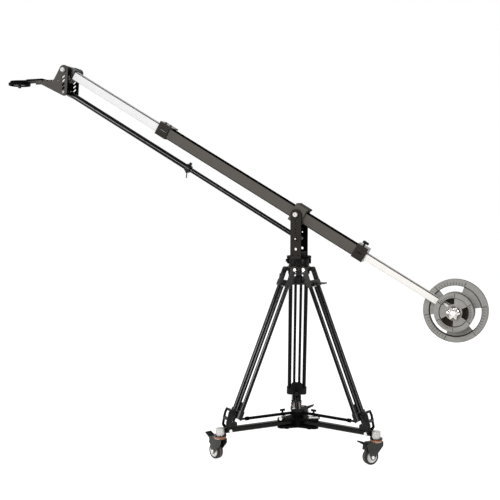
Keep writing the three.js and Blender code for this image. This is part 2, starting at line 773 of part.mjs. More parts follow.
function casterFork() {
  const top = FORK_TOP_HEIGHT;
  const eye = [CASTER_TRAIL, wheelRadius, FORK_EYE_RADIUS];
  const front = [-FORK_FRONT + FORK_THICKNESS, top - FORK_SKIRT, FORK_THICKNESS];
  const frontTop = [-FORK_FRONT + FORK_THICKNESS, top - FORK_THICKNESS, FORK_THICKNESS];
  const backTop = [FORK_BACK - FORK_THICKNESS, top - FORK_THICKNESS, FORK_THICKNESS];
  const ear = [PEDAL_PIN_BACK, pedalPinHeight, PEDAL_EAR_RADIUS];
  const outline = wrapped([eye, front, frontTop, backTop, ear], PLAIN_SIDES);
  const cheeks = [[forkInside, forkOutside], [-forkOutside, -forkInside]].map(([from, to]) => (
    slabY(outline, from, to)
  ));
  const crown = beam(-FORK_FRONT, FORK_BACK - FORK_THICKNESS, forkOutside * 2, top - FORK_THICKNESS, top);
  const bearing = barZ(RING_RADIUS, top - BITE, raceBottom, 0, 0, ROUND_SIDES);
  const race = barZ(RACE_RADIUS, raceBottom, raceTop, 0, 0, ROUND_SIDES);
  const stem = barZ(STEM_RADIUS, raceTop - BITE, raceTop + STEM_LENGTH, 0, 0, PLAIN_SIDES);
  const headEnd = forkOutside + AXLE_HEAD_LENGTH;
  const axle = barY(AXLE_RADIUS, -headEnd, headEnd, CASTER_TRAIL, wheelRadius, SMALL_SIDES);
  const heads = [[forkOutside - BITE, headEnd], [-headEnd, -forkOutside + BITE]].map(([from, to]) => (
    barY(AXLE_HEAD_RADIUS, from, to, CASTER_TRAIL, wheelRadius, PLAIN_SIDES)
  ));
  const pin = barY(
    PEDAL_PIN_RADIUS,
    -forkOutside,
    forkOutside,
    PEDAL_PIN_BACK,
    pedalPinHeight,
    SMALL_SIDES,
  );
  return join([...cheeks, crown, bearing, race, stem, axle, ...heads, pin]);
}

function casterWheel() {
  const half = WHEEL_WIDTH / 2;
  const bore = AXLE_RADIUS + RUN_GAP;
  const boss = half + FORK_SIDE_GAP - RUN_GAP;
  const points = [
    [bore, -boss],
    [WHEEL_BOSS_RADIUS, -boss],
    [WHEEL_BOSS_RADIUS, -half + WHEEL_DISH],
    [WHEEL_RIM_RADIUS, -half + WHEEL_DISH],
    [WHEEL_RIM_RADIUS, -half],
    [wheelRadius - WHEEL_CHAMFER, -half],
    [wheelRadius, -half + WHEEL_CHAMFER],
    [wheelRadius, half - WHEEL_CHAMFER],
    [wheelRadius - WHEEL_CHAMFER, half],
    [WHEEL_RIM_RADIUS, half],
    [WHEEL_RIM_RADIUS, half - WHEEL_DISH],
    [WHEEL_BOSS_RADIUS, half - WHEEL_DISH],
    [WHEEL_BOSS_RADIUS, boss],
    [bore, boss],
    [bore, -boss],
  ];
  const upright = turned(points, ROUND_SIDES).rotateX(RIGHT_ANGLE);
  return geometryOf(solidOf(upright.translate(CASTER_TRAIL, 0, wheelRadius)));
}

function brakePedal() {
  const x = PEDAL_PIN_BACK;
  const z = pedalPinHeight;
  const half = forkInside - RUN_GAP;
  const hub = [x, z, PEDAL_HUB_RADIUS];
  const tip = [x + PEDAL_TIP_OUT, z + PEDAL_TIP_RISE, PEDAL_TIP_RADIUS];
  const shoe = [x + PEDAL_SHOE_OUT, z - PEDAL_SHOE_DROP, PEDAL_SHOE_RADIUS];
  const body = join([
    slabY(wrapped([hub, shoe], PLAIN_SIDES), -half, half),
    slabY(wrapped([hub, tip], PLAIN_SIDES), -PEDAL_WIDTH / 2, PEDAL_WIDTH / 2),
  ]);
  const bore = barY(PEDAL_PIN_RADIUS + RUN_GAP, -half - OVERRUN, half + OVERRUN, x, z, PLAIN_SIDES);
  return cut(body, [bore]);
}

// The line of a leg, from its hinge to where its foot stands on the arm
const legBottom = armTop + SEAT_GAP;
const legRun = FOOT_OUTER_RADIUS - FOOT_STANCE_IN - LEG_HINGE_RADIUS;
const legDrop = LEG_HINGE_HEIGHT - legBottom;
const legTiltAngle = Math.atan2(legRun, legDrop);
const legLength = Math.hypot(legRun, legDrop);
const legRadiusAtSpreader = LEG_HINGE_RADIUS + ((LEG_HINGE_HEIGHT - SPREADER_HEIGHT) * legRun) / legDrop;
const spreaderLugReach = legRadiusAtSpreader - SPREADER_LUG_IN;

// Ground spreader

const spreaderHubBottom = hubColumnTop + SEAT_GAP;
const spreaderHubTop = spreaderHubBottom + SPREADER_HUB_THICKNESS;

function spreaderHub() {
  const body = barZ(SPREADER_HUB_RADIUS, spreaderHubBottom, spreaderHubTop, 0, 0, ROUND_SIDES);
  const slots = LEG_ANGLES.map((angle) => turnedAboutZ(
    beam(
      SPREADER_ROOT_RADIUS,
      SPREADER_HUB_RADIUS + OVERRUN,
      SPREADER_SLOT_WIDTH,
      SPREADER_HEIGHT - SPREADER_ROD_RADIUS - RUN_GAP,
      spreaderHubTop + OVERRUN,
    ),
    angle,
  ));
  return cut(body, slots);
}

function spreaderArm() {
  const z = SPREADER_HEIGHT;
  const start = SPREADER_ROOT_RADIUS + RUN_GAP;
  const knuckle = spreaderLugReach - SPREADER_TIP_LENGTH;
  const half = SPREADER_KNUCKLE_LENGTH / 2;
  const end = spreaderLugReach - SEAT_GAP;
  const knob = SPREADER_KNOB_RADIUS;
  const knobTop = z + SPREADER_KNOB_HEIGHT;
  const wing = [SPREADER_WING_LENGTH / 2, SPREADER_WING_WIDTH / 2, SPREADER_KNUCKLE_SIZE / 2];
  return join([
    barX(SPREADER_ROD_RADIUS, start, knuckle, 0, z, SMALL_SIDES),
    barX(SPREADER_KNUCKLE_SIZE, knuckle - half, knuckle + half, 0, z, SMALL_SIDES),
    barX(SPREADER_TIP_ROD_RADIUS, knuckle, end, 0, z, SMALL_SIDES),
    barX(SPREADER_COLLAR_RADIUS, knob - half, knob + half, 0, z, SMALL_SIDES),
    barZ(SPREADER_KNOB_STEM, z, knobTop, knob, 0, SMALL_SIDES),
    block(
      [knob - wing[0], -wing[1], knobTop - wing[2]],
      [knob + wing[0], wing[1], knobTop + wing[2]],
    ),
  ]);
}

// Tripod

const ballHeight = CROWN_TOP + BOWL_RISE;
const crownRingBottom = CROWN_TOP - CROWN_RING_HEIGHT;

// The width of the ball seat at a height, with a gap round it
function ballRadiusAt(height, gap) {
  return Math.sqrt((BOWL_RADIUS + gap) ** 2 - (ballHeight - height) ** 2);
}

function tripodCrown() {
  const points = [
    [ballRadiusAt(crownRingBottom, SEAT_GAP), crownRingBottom],
    [CROWN_RING_RADIUS, crownRingBottom],
    [CROWN_RING_RADIUS, CROWN_TOP],
    [ballRadiusAt(CROWN_TOP, SEAT_GAP), CROWN_TOP],
    [ballRadiusAt(crownRingBottom, SEAT_GAP), crownRingBottom],
  ];
  const pieces = [turned(points, FINE_SIDES)];
  const lugTop = CROWN_TOP - CROWN_LUG_DROP;
  const lugEnd = LEG_HINGE_RADIUS + CROWN_LUG_OVERHANG;
  const spiderTop = CROWN_SPIDER_HEIGHT + CROWN_SPIDER_THICKNESS;
  for (const angle of LEG_ANGLES) {
    for (const side of [1, -1]) {
      const centre = side * CROWN_LUG_OFFSET;
      const lug = block(
        [CROWN_LUG_START, centre - CROWN_LUG_THICKNESS / 2, lugTop - CROWN_LUG_HEIGHT],
        [lugEnd, centre + CROWN_LUG_THICKNESS / 2, lugTop],
      );
      pieces.push(turnedAboutZ(lug, angle));
    }
    const post = block(
      [CROWN_POST_RADIUS, -CROWN_POST_WIDTH / 2, CROWN_SPIDER_HEIGHT],
      [CROWN_RING_RADIUS, CROWN_POST_WIDTH / 2, crownRingBottom + BITE],
    );
    pieces.push(turnedAboutZ(post, angle + WEB_TURN));
    const spoke = block(
      [CROWN_SPIDER_BORE + BITE, -CROWN_POST_WIDTH / 2, CROWN_SPIDER_HEIGHT],
      [CROWN_POST_RADIUS + BITE, CROWN_POST_WIDTH / 2, spiderTop],
    );
    pieces.push(turnedAboutZ(spoke, angle + WEB_TURN));
  }
  pieces.push(ring(CROWN_SPIDER_RADIUS, CROWN_SPIDER_BORE, CROWN_SPIDER_HEIGHT, spiderTop, ROUND_SIDES));
  const seat = turned([
    [0, crownRingBottom - CROWN_LUG_HEIGHT],
    [ballRadiusAt(crownRingBottom, SEAT_GAP), crownRingBottom - CROWN_LUG_HEIGHT],
    [ballRadiusAt(crownRingBottom, SEAT_GAP), crownRingBottom],
    [ballRadiusAt(CROWN_TOP, SEAT_GAP), CROWN_TOP],
    [0, CROWN_TOP],
  ], FINE_SIDES);
  const spaceBelow = barZ(
    CROWN_POST_RADIUS,
    spiderTop,
    crownRingBottom + BITE,
    0,
    0,
    FINE_SIDES,
  );
  const bores = LEG_ANGLES.map((angle) => turnedAboutZ(
    barY(
      HINGE_BOLT_RADIUS + RUN_GAP,
      -TOP_ARM_OFFSET,
      TOP_ARM_OFFSET,
      LEG_HINGE_RADIUS,
      LEG_HINGE_HEIGHT,
      PLAIN_SIDES,
    ),
    angle,
  ));
  return cut(join(pieces), [seat, spaceBelow, ...bores]);
}

// Legs are drawn hanging from their hinge: X outwards, Z down the leg as negative height
const tubeX = -TUBE_OFFSET;
const innerTubeX = tubeX + INNER_TUBE_OUT;
const socketHalf = OUTER_TUBE_RADIUS + CASTING_WALL;
const castingHalfWidth = OUTER_TUBE_SPACING / 2 + socketHalf;
const socketEnd = TOP_SOCKET_START + TOP_SOCKET_LENGTH;
const castingEnd = legLength - LOWER_CASTING_RISE;
const castingStart = castingEnd - LOWER_CASTING_LENGTH;
const lowerHalf = OUTER_TUBE_RADIUS + LOWER_CASTING_WALL;

function pairY(spacing) {
  return [spacing / 2, -spacing / 2];
}

function legTopCasting() {
  const pieces = [];
  const armInside = TOP_ARM_OFFSET - TOP_ARM_THICKNESS / 2;
  const armOutside = TOP_ARM_OFFSET + TOP_ARM_THICKNESS / 2;
  const outline = wrapped([
    [0, 0, TOP_ARM_RADIUS],
    [tubeX, -TOP_SOCKET_START - BITE, TOP_ARM_RADIUS],
  ], PLAIN_SIDES);
  const boltTip = CROWN_LUG_OFFSET - CROWN_LUG_THICKNESS / 2;
  const headEnd = armOutside + HINGE_BOLT_HEAD_LENGTH;
  for (const side of [1, -1]) {
    const span = (from, to) => [Math.min(side * from, side * to), Math.max(side * from, side * to)];
    pieces.push(slabY(outline, ...span(armInside, armOutside)));
    pieces.push(barY(HINGE_BOLT_RADIUS, ...span(boltTip, armOutside), 0, 0, SMALL_SIDES));
    pieces.push(barY(HINGE_BOLT_HEAD_RADIUS, ...span(armOutside - BITE, headEnd), 0, 0, PLAIN_SIDES));
  }
  pieces.push(block(
    [tubeX - socketHalf, -castingHalfWidth, -socketEnd],
    [tubeX + socketHalf, castingHalfWidth, -TOP_SOCKET_START],
  ));
  const earStart = tubeX + socketHalf - BITE;
  const earEnd = tubeX + socketHalf + SEAT_GAP + LEG_LOCK_HUB_RADIUS;
  const earInside = LEG_LOCK_HUB_LENGTH / 2 + RUN_GAP;
  const earOutside = earInside + LEG_LOCK_EAR_THICKNESS;
  for (const side of [1, -1]) {
    const low = Math.min(side * earInside, side * earOutside);
    const high = Math.max(side * earInside, side * earOutside);
    const ear = wrapped([
      [earEnd, -LEG_LOCK_STATION, LEG_LOCK_HUB_RADIUS / 2],
      [earStart, -LEG_LOCK_STATION, LEG_LOCK_HUB_RADIUS],
    ], PLAIN_SIDES);
    pieces.push(slabY(ear, low, high));
  }
  pieces.push(barY(LEG_LOCK_PIN_RADIUS, -earOutside, earOutside, earEnd, -LEG_LOCK_STATION, SMALL_SIDES));
  const bores = pairY(OUTER_TUBE_SPACING).map((y) => barZ(
    OUTER_TUBE_RADIUS + SEAT_GAP,
    -socketEnd - OVERRUN,
    -TOP_SOCKET_START - TOP_SOCKET_FLOOR,
    tubeX,
    y,
    PLAIN_SIDES,
  ));
  return cut(join(pieces), bores);
}

function legOuterTubes() {
  const tubeTop = TOP_SOCKET_START + TOP_SOCKET_FLOOR + SEAT_GAP;
  const pieces = pairY(OUTER_TUBE_SPACING).map((y) => (
    barZ(OUTER_TUBE_RADIUS, -castingEnd, -tubeTop, tubeX, y, PLAIN_SIDES)
  ));
  const lobes = pairY(OUTER_TUBE_SPACING).map((y) => [tubeX, y, lowerHalf]);
  pieces.push(slabZ(wrapped(lobes, PLAIN_SIDES), -castingEnd, -castingStart));
  const webFace = tubeX - lowerHalf;
  const web = wrapped([
    [INNER_TUBE_SPACING / 2, -castingStart + LOWER_WEB_RISE - LOWER_WEB_RADIUS, LOWER_WEB_RADIUS],
    [-INNER_TUBE_SPACING / 2, -castingStart + LOWER_WEB_RISE - LOWER_WEB_RADIUS, LOWER_WEB_RADIUS],
    [OUTER_TUBE_SPACING / 2 - socketHalf, -castingStart - socketHalf, socketHalf],
    [socketHalf - OUTER_TUBE_SPACING / 2, -castingStart - socketHalf, socketHalf],
  ], PLAIN_SIDES);
  const webSolid = slabY(web, -webFace - LOWER_WEB_THICKNESS, -webFace).rotateZ(RIGHT_ANGLE);
  pieces.push(webSolid);
  const bores = pairY(OUTER_TUBE_SPACING).map((y) => barZ(
    OUTER_TUBE_RADIUS - OUTER_TUBE_WALL,
    -castingEnd - OVERRUN,
    -tubeTop + OVERRUN,
    tubeX,
    y,
    SMALL_SIDES,
  ));
  const guides = pairY(INNER_TUBE_SPACING).map((y) => barZ(
    INNER_TUBE_RADIUS + SEAT_GAP,
    -castingEnd - OVERRUN,
    -castingStart + LOWER_WEB_RISE + OVERRUN,
    innerTubeX,
    y,
    PLAIN_SIDES,
  ));
  return cut(join([...pieces, spreaderLug()]), [...bores, ...guides]);
}

// Where a place in a standing leg's frame lies in its hinge frame, and back
const hingeFrame = new THREE.Matrix4()
  .makeTranslation(LEG_HINGE_RADIUS, 0, LEG_HINGE_HEIGHT)
  .multiply(new THREE.Matrix4().makeRotationY(-legTiltAngle));
const standingFrame = hingeFrame.clone().invert();

// The lug on the lower casting that holds the spreader's tip
function spreaderLug() {
  const half = SPREADER_LUG_HEIGHT / 2;
  const tips = [SPREADER_HEIGHT - half + BITE, SPREADER_HEIGHT + half - BITE].map((z) => {
    const place = new THREE.Vector3(spreaderLugReach + BITE, 0, z).applyMatrix4(standingFrame);
    return [place.x, place.z, BITE];
  });
  const root = tubeX - lowerHalf + BITE;
  const outline = wrapped([
    ...tips,
    [root, BITE - castingEnd, BITE],
    [root, SPREADER_LUG_HEIGHT - BITE - castingEnd, BITE],
  ], SMALL_SIDES);
  return slabY(outline, -SPREADER_LUG_WIDTH / 2, SPREADER_LUG_WIDTH / 2);
}

// The inner tubes end halfway up the heel
const innerTubeDrop = legDrop - FOOT_SHOULDER_HEIGHT / 2 + innerTubeX * Math.sin(legTiltAngle);
const innerTubeEnd = innerTubeDrop / Math.cos(legTiltAngle);

function legInnerTubes() {
  const tubes = pairY(INNER_TUBE_SPACING).map((y) => barZ(
    INNER_TUBE_RADIUS,
    -innerTubeEnd,
    -socketEnd - INNER_TUBE_TOP_GAP,
    innerTubeX,
    y,
    PLAIN_SIDES,
  ));
  const bottom = legBottom;
  const shoulder = bottom + FOOT_SHOULDER_HEIGHT;
  const heel = slabY([
    [FOOT_INNER_RADIUS, bottom],
    [FOOT_OUTER_RADIUS, bottom],
    [FOOT_OUTER_RADIUS - BITE, shoulder],
    [FOOT_INNER_RADIUS, shoulder],
  ], -FOOT_WIDTH / 2, FOOT_WIDTH / 2);
  const post = slabY([
    [FOOT_SHOULDER_RADIUS, shoulder - BITE],
    [FOOT_OUTER_RADIUS - BITE, shoulder - BITE],
    [FOOT_OUTER_RADIUS - FOOT_POST_LEAN, footPostTop],
    [FOOT_POST_INNER_RADIUS, footPostTop],
  ], -FOOT_POST_WIDTH / 2, FOOT_POST_WIDTH / 2);
  const body = join([...tubes.map((tube) => tube.applyMatrix4(hingeFrame)), heel, post]);
  const below = beam(
    FOOT_INNER_RADIUS - OVERRUN,
    FOOT_OUTER_RADIUS + OVERRUN,
    FOOT_WIDTH + OVERRUN,
    bottom - FOOT_POST_HEIGHT,
    bottom,
  );
  const bores = pairY(INNER_TUBE_SPACING).map((y) => barZ(
    INNER_TUBE_RADIUS - INNER_TUBE_WALL,
    -castingEnd + OVERRUN,
    -socketEnd + OVERRUN,
    innerTubeX,
    y,
    SMALL_SIDES,
  ).applyMatrix4(hingeFrame));
  return cut(body, [below, ...bores]);
}

function legLock() {
  const x = tubeX + socketHalf + SEAT_GAP + LEG_LOCK_HUB_RADIUS;
  const half = LEG_LOCK_HUB_LENGTH / 2;
  const lever = wrapped([
    [0, 0, LEG_LOCK_LEVER_THICKNESS / 2],
    [LEG_LOCK_HUB_RADIUS / 2, LEG_LOCK_LEVER_LENGTH, LEG_LOCK_LEVER_THICKNESS / 2],
  ], PLAIN_SIDES);
  const body = join([
    barY(LEG_LOCK_HUB_RADIUS, -half, half, 0, 0, PLAIN_SIDES),
    slabY(lever, -half, half),
  ]);
  const bore = barY(LEG_LOCK_PIN_RADIUS + RUN_GAP, -half - OVERRUN, half + OVERRUN, 0, 0, PLAIN_SIDES);
  return { geometry: cut(body, [bore]), place: [x, 0, -LEG_LOCK_STATION] };
}

// Pan base and yoke

const panTop = PAN_BODY_TOP;
const yokeInside = (YOKE_SPACING - PLATE_THICKNESS) / 2;
const yokeBaseBottom = PAN_BODY_TOP + SEAT_GAP;

function panBase() {
  const neckTop = CROWN_TOP + PAN_NECK_HEIGHT;
  const body = turned([
    [0, PAN_NUT_TOP - PAN_NUT_HEIGHT],
    [PAN_NUT_RADIUS - PAN_NUT_CHAMFER, PAN_NUT_TOP - PAN_NUT_HEIGHT],
    [PAN_NUT_RADIUS, PAN_NUT_TOP - PAN_NUT_HEIGHT + PAN_NUT_CHAMFER],
    [PAN_NUT_RADIUS, PAN_NUT_TOP],
    [PAN_SHAFT_RADIUS, PAN_NUT_TOP],
    [PAN_SHAFT_RADIUS, crownRingBottom],
    [ballRadiusAt(crownRingBottom, 0), crownRingBottom],
    [ballRadiusAt(CROWN_TOP, 0), CROWN_TOP],
    [ballRadiusAt(CROWN_TOP, 0), neckTop],
    [PAN_BODY_RADIUS, neckTop + PAN_BODY_TAPER],
    [PAN_BODY_RADIUS, panTop],
    [PAN_SPINDLE_RADIUS, panTop],
    [PAN_SPINDLE_RADIUS, panTop + PAN_SPINDLE_LENGTH],
    [0, panTop + PAN_SPINDLE_LENGTH],
  ], FINE_SIDES);
  return cut(body, PAN_KNOB_TURNS.map((angle) => turnedAboutZ(
    barX(
      PAN_KNOB_STEM_RADIUS + RUN_GAP,
      PAN_BODY_RADIUS - PAN_KNOB_LENGTH,
      PAN_BODY_RADIUS + OVERRUN,
      0,
      PAN_KNOB_HEIGHT,
      PLAIN_SIDES,
    ),
    angle,
  )));
}

function panKnob() {
  const z = PAN_KNOB_HEIGHT;
  const seat = PAN_BODY_RADIUS + SEAT_GAP;
  const stemStart = PAN_BODY_RADIUS - PAN_KNOB_LENGTH / 2;
  return join([
    barX(PAN_KNOB_STEM_RADIUS, stemStart, seat + BITE, 0, z, SMALL_SIDES),
    barX(PAN_KNOB_RADIUS, seat, seat + PAN_KNOB_LENGTH, 0, z, SMALL_SIDES),
  ]);
}

function yokeBase() {
  const base = barZ(YOKE_BASE_RADIUS, yokeBaseBottom, yokeBaseBottom + YOKE_BASE_THICKNESS, 0, 0, FINE_SIDES);
  const limit = block(
    [-YOKE_BASE_RADIUS - OVERRUN, -yokeInside + SEAT_GAP, 0],
    [YOKE_BASE_RADIUS + OVERRUN, yokeInside - SEAT_GAP, PIVOT_HEIGHT],
  );
  const plinth = beam(
    -YOKE_BLOCK_LENGTH / 2,
    YOKE_BLOCK_LENGTH / 2,
    (yokeInside - SEAT_GAP) * 2,
    yokeBaseBottom + BITE,
    yokeBaseBottom + YOKE_BASE_THICKNESS + YOKE_BLOCK_HEIGHT,
  );
  const bore = barZ(
    PAN_SPINDLE_RADIUS + RUN_GAP,
    yokeBaseBottom - OVERRUN,
    panTop + PAN_SPINDLE_LENGTH + SEAT_GAP,
    0,
    0,
    ROUND_SIDES,
  );
  return cut(join([overlapOf(base, limit), plinth]), [bore]);
}

function yokePlate() {
  const half = PLATE_THICKNESS / 2;
  const bottom = YOKE_PLATE_BOTTOM - PIVOT_HEIGHT;
  const outline = wrapped([
    [0, 0, YOKE_HALF_WIDTH],
    [YOKE_HALF_WIDTH - BITE, bottom + BITE, BITE],
    [BITE - YOKE_HALF_WIDTH, bottom + BITE, BITE],
  ], FINE_SIDES);
  const through = (radius, drop) => barY(radius, -half - OVERRUN, half + OVERRUN, 0, -drop, PLAIN_SIDES);
  return cut(slabY(outline, -half, half), [
    barY(AXLE_SHAFT_RADIUS + SEAT_GAP, -half - OVERRUN, half + OVERRUN, 0, 0, ROUND_SIDES),
    through(ROD_PIN_RADIUS + RUN_GAP, PARALLEL_DROP),
    through(YOKE_BIG_HOLE_RADIUS, YOKE_BIG_HOLE_DROP),
    ...YOKE_HOLE_DROPS.map((drop) => through(YOKE_HOLE_RADIUS, drop)),
  ]);
}

// A cross axle with a flange outside each plate and a knob or nose at the far end
function crossAxle(spacing, endRadius, endLength) {
  const plateFace = spacing / 2 + PLATE_THICKNESS / 2 + SEAT_GAP;
  const flangeEnd = plateFace + AXLE_FLANGE_THICKNESS;
  const nose = flangeEnd + AXLE_NOSE_LENGTH;
  return join([
    barY(AXLE_SHAFT_RADIUS, -nose, flangeEnd, 0, 0, ROUND_SIDES),
    barY(AXLE_FLANGE_RADIUS, -flangeEnd, -plateFace, 0, 0, ROUND_SIDES),
    barY(AXLE_FLANGE_RADIUS, plateFace, flangeEnd, 0, 0, ROUND_SIDES),
    barY(endRadius, flangeEnd - BITE, flangeEnd + endLength, 0, 0, ROUND_SIDES),
  ]);
}

// Boom, drawn level with the head to -X and the pivot at the origin

function boomOuterTube() {
  const tube = squareTube(-OUTER_FRONT, OUTER_REAR, OUTER_WIDTH, OUTER_HEIGHT, OUTER_WALL, 0);
  return cut(tube, [
    barY(AXLE_SHAFT_RADIUS + RUN_GAP, -OUTER_WIDTH, OUTER_WIDTH, 0, 0, ROUND_SIDES),
  ]);
}

function saddle() {
  const slabTop = SADDLE_HALF_HEIGHT + SADDLE_SLAB_THICKNESS;
  const boss = yokeInside - RUN_GAP;
  const body = join([
    beam(-SADDLE_FRONT, SADDLE_REAR, SADDLE_HALF_WIDTH * 2, -SADDLE_HALF_HEIGHT, SADDLE_HALF_HEIGHT + BITE),
    beam(
      -SADDLE_FRONT,
      SADDLE_REAR + SADDLE_SLAB_OVERHANG,
      SADDLE_HALF_WIDTH * 2,
      SADDLE_HALF_HEIGHT,
      slabTop,
    ),
    beam(
      -SADDLE_FRONT,
      SADDLE_TOE_LENGTH - SADDLE_FRONT,
      SADDLE_HALF_WIDTH * 2,
      -SADDLE_HALF_HEIGHT - SADDLE_TOE_DEPTH,
      BITE - SADDLE_HALF_HEIGHT,
    ),
    barY(SADDLE_BOSS_RADIUS, -boss, boss, 0, 0, ROUND_SIDES),
  ]);
  return cut(body, [
    beam(
      -SADDLE_FRONT - OVERRUN,
      SADDLE_REAR + OVERRUN,
      OUTER_WIDTH + SEAT_GAP * 2,
      -OUTER_HEIGHT / 2 - SEAT_GAP,
      OUTER_HEIGHT / 2 + SEAT_GAP,
    ),
    barY(AXLE_SHAFT_RADIUS + RUN_GAP, -boss - OVERRUN, boss + OVERRUN, 0, 0, ROUND_SIDES),
  ]);
}

// A collar over the end of the outer tube, with a lip that guides the inner tube.
// The tube's end is at the origin and the tube runs to +X.
function collar(length, overhang, innerWidth, innerHeight, innerSag) {
  const half = OUTER_WIDTH / 2 + SEAT_GAP + COLLAR_SIDE;
  const bottom = -OUTER_HEIGHT / 2 - SEAT_GAP - COLLAR_BOTTOM;
  const top = OUTER_HEIGHT / 2 + SEAT_GAP + COLLAR_TOP;
  const slotHalf = (length * COLLAR_SLOT_LENGTH_SHARE) / 2;
  const middle = (length - COLLAR_LIP) / 2;
  const slotPoints = wrapped([
    [middle - slotHalf, 0, COLLAR_SLOT_WIDTH / 2],
    [middle + slotHalf, 0, COLLAR_SLOT_WIDTH / 2],
  ], SMALL_SIDES);
  const body = join([
    beam(-COLLAR_LIP, length - COLLAR_LIP, half * 2, bottom, top),
    beam(-COLLAR_LIP, length - COLLAR_LIP + overhang, half * 2, top - COLLAR_TOP, top),
  ]);
  return cut(body, [
    beam(
      -SEAT_GAP,
      length + overhang,
      OUTER_WIDTH + SEAT_GAP * 2,
      -OUTER_HEIGHT / 2 - SEAT_GAP,
      OUTER_HEIGHT / 2 + SEAT_GAP,
    ),
    beam(
      -COLLAR_LIP - OVERRUN,
      OVERRUN,
      innerWidth + RUN_GAP * 2,
      -innerSag - innerHeight / 2 - RUN_GAP,
      innerHeight / 2 - innerSag + RUN_GAP,
    ),
    slabY(slotPoints, -half - OVERRUN, COLLAR_SLOT_DEPTH - half),
    slabY(slotPoints, half - COLLAR_SLOT_DEPTH, half + OVERRUN),
  ]);
}

function frontTube() {
  return squareTube(
    FRONT_TIP_GAP + SEAT_GAP - HEAD_REACH,
    FRONT_OVERLAP - OUTER_FRONT,
    FRONT_WIDTH,
    FRONT_HEIGHT,
    FRONT_WALL,
    -FRONT_SAG,
  );
}

const rearTubeEnd = WEIGHT_REACH + REAR_END_LENGTH;

function rearTube() {
  const z = -REAR_SAG;
  const tube = squareTube(OUTER_REAR - REAR_OVERLAP, rearTubeEnd, REAR_SIZE, REAR_SIZE, REAR_WALL, z);
  const cap = beam(
    rearTubeEnd - REAR_CAP_THICKNESS,
    rearTubeEnd,
    REAR_SIZE - REAR_WALL,
    z - REAR_SIZE / 2 + BITE,
    z + REAR_SIZE / 2 - BITE,
  );
  const bore = barY(WEIGHT_SHAFT_RADIUS + SEAT_GAP, -REAR_SIZE, REAR_SIZE, WEIGHT_REACH, z, PLAIN_SIDES);
  return cut(join([tube, cap]), [bore]);
}

// A lobed hand knob standing on the origin
function handKnob() {
  const stemTop = KNOB_STEM_LENGTH + BITE;
  const pieces = [barZ(KNOB_STEM_RADIUS, 0, stemTop, 0, 0, SMALL_SIDES)];
  const top = KNOB_STEM_LENGTH + KNOB_THICKNESS;
  for (let i = 0; i < KNOB_LOBE_COUNT; i += 1) {
    const angle = (i / KNOB_LOBE_COUNT) * FULL_TURN;
    const lobe = [KNOB_LOBE_REACH * Math.cos(angle), KNOB_LOBE_REACH * Math.sin(angle), KNOB_LOBE_RADIUS];
    pieces.push(slabZ(wrapped([[0, 0, KNOB_LOBE_RADIUS], lobe], SMALL_SIDES), KNOB_STEM_LENGTH, top));
  }
  return join(pieces);
}

// Parallel rod, drawn along -X from the yoke pin

const rodLength = HEAD_REACH;

// A rod end with its cross pin through two plates
function rodEnd(spacing, direction, radius) {
  const inside = spacing / 2 - PLATE_THICKNESS / 2 - RUN_GAP;
  const outside = spacing / 2 + PLATE_THICKNESS / 2 + RUN_GAP;
  const headEnd = outside + ROD_PIN_HEAD_LENGTH;
  const half = ROD_EYE_WIDTH / 2;
  const eye = slabY(wrapped([
    [0, 0, ROD_EYE_RADIUS],
    [direction * ROD_EYE_REACH, 0, radius],
  ], PLAIN_SIDES), -half, half);
  return join([
    eye,
    barY(ROD_SPACER_RADIUS, -inside, inside, 0, 0, PLAIN_SIDES),
    barY(ROD_PIN_RADIUS, -headEnd, headEnd, 0, 0, SMALL_SIDES),
    barY(ROD_PIN_HEAD_RADIUS, -headEnd, -outside, 0, 0, PLAIN_SIDES),
    barY(ROD_PIN_HEAD_RADIUS, outside, headEnd, 0, 0, PLAIN_SIDES),
  ]);
}

function rodRear() {
  const end = ROD_SLEEVE_START + ROD_OVERLAP;
  const tube = barX(ROD_RADIUS, -end, -ROD_EYE_REACH / 2, 0, 0, PLAIN_SIDES);
  const bore = barX(ROD_RADIUS - ROD_WALL, -end - OVERRUN, -ROD_EYE_REACH * 2, 0, 0, SMALL_SIDES);
  return cut(join([rodEnd(YOKE_SPACING, -1, ROD_RADIUS), tube]), [bore]);
}

function rodFront() {
  const tube = barX(ROD_SLEEVE_RADIUS, ROD_EYE_REACH / 2, rodLength - ROD_SLEEVE_START, 0, 0, PLAIN_SIDES);
  const bore = barX(
    ROD_SLEEVE_RADIUS - ROD_SLEEVE_WALL,
    ROD_EYE_REACH * 2,
    rodLength - ROD_SLEEVE_START + OVERRUN,
    0,
    0,
    PLAIN_SIDES,
  );
  return cut(join([rodEnd(HEAD_SPACING, 1, ROD_SLEEVE_RADIUS), tube]), [bore]);
}

// The lever clamp at the sleeve's mouth, about its own centre on the rod's axis
function rodClamp() {
  const half = ROD_CLAMP_LENGTH / 2;
  const mouth = ROD_CLAMP_CENTRE - ROD_SLEEVE_START;
  const ear = ROD_CLAMP_EAR_RADIUS;
  const reach = ROD_CLAMP_EAR_REACH;
  const lever = barZ(
    ROD_CLAMP_LEVER_RADIUS,
    -ROD_CLAMP_LEVER_LENGTH,
    0,
    0,
    0,
    SMALL_SIDES,
  ).rotateY(-radians(ROD_CLAMP_LEVER_TURN)).translate(0, 0, -reach + ear);
  const body = join([
    barX(ROD_CLAMP_RADIUS, -half, half, 0, 0, ROUND_SIDES),
    barZ(ear, 0, reach + ear, 0, 0, SMALL_SIDES),
    barZ(ear, -reach - BITE, 0, 0, 0, SMALL_SIDES),
    lever,
  ]);
  return cut(body, [
    barX(ROD_SLEEVE_RADIUS + SEAT_GAP, -half - OVERRUN, mouth + SEAT_GAP, 0, 0, PLAIN_SIDES),
    barX(ROD_RADIUS + RUN_GAP, -half, half + OVERRUN, 0, 0, PLAIN_SIDES),
  ]);
}

// Camera head, drawn about the head axle with the platform to -X

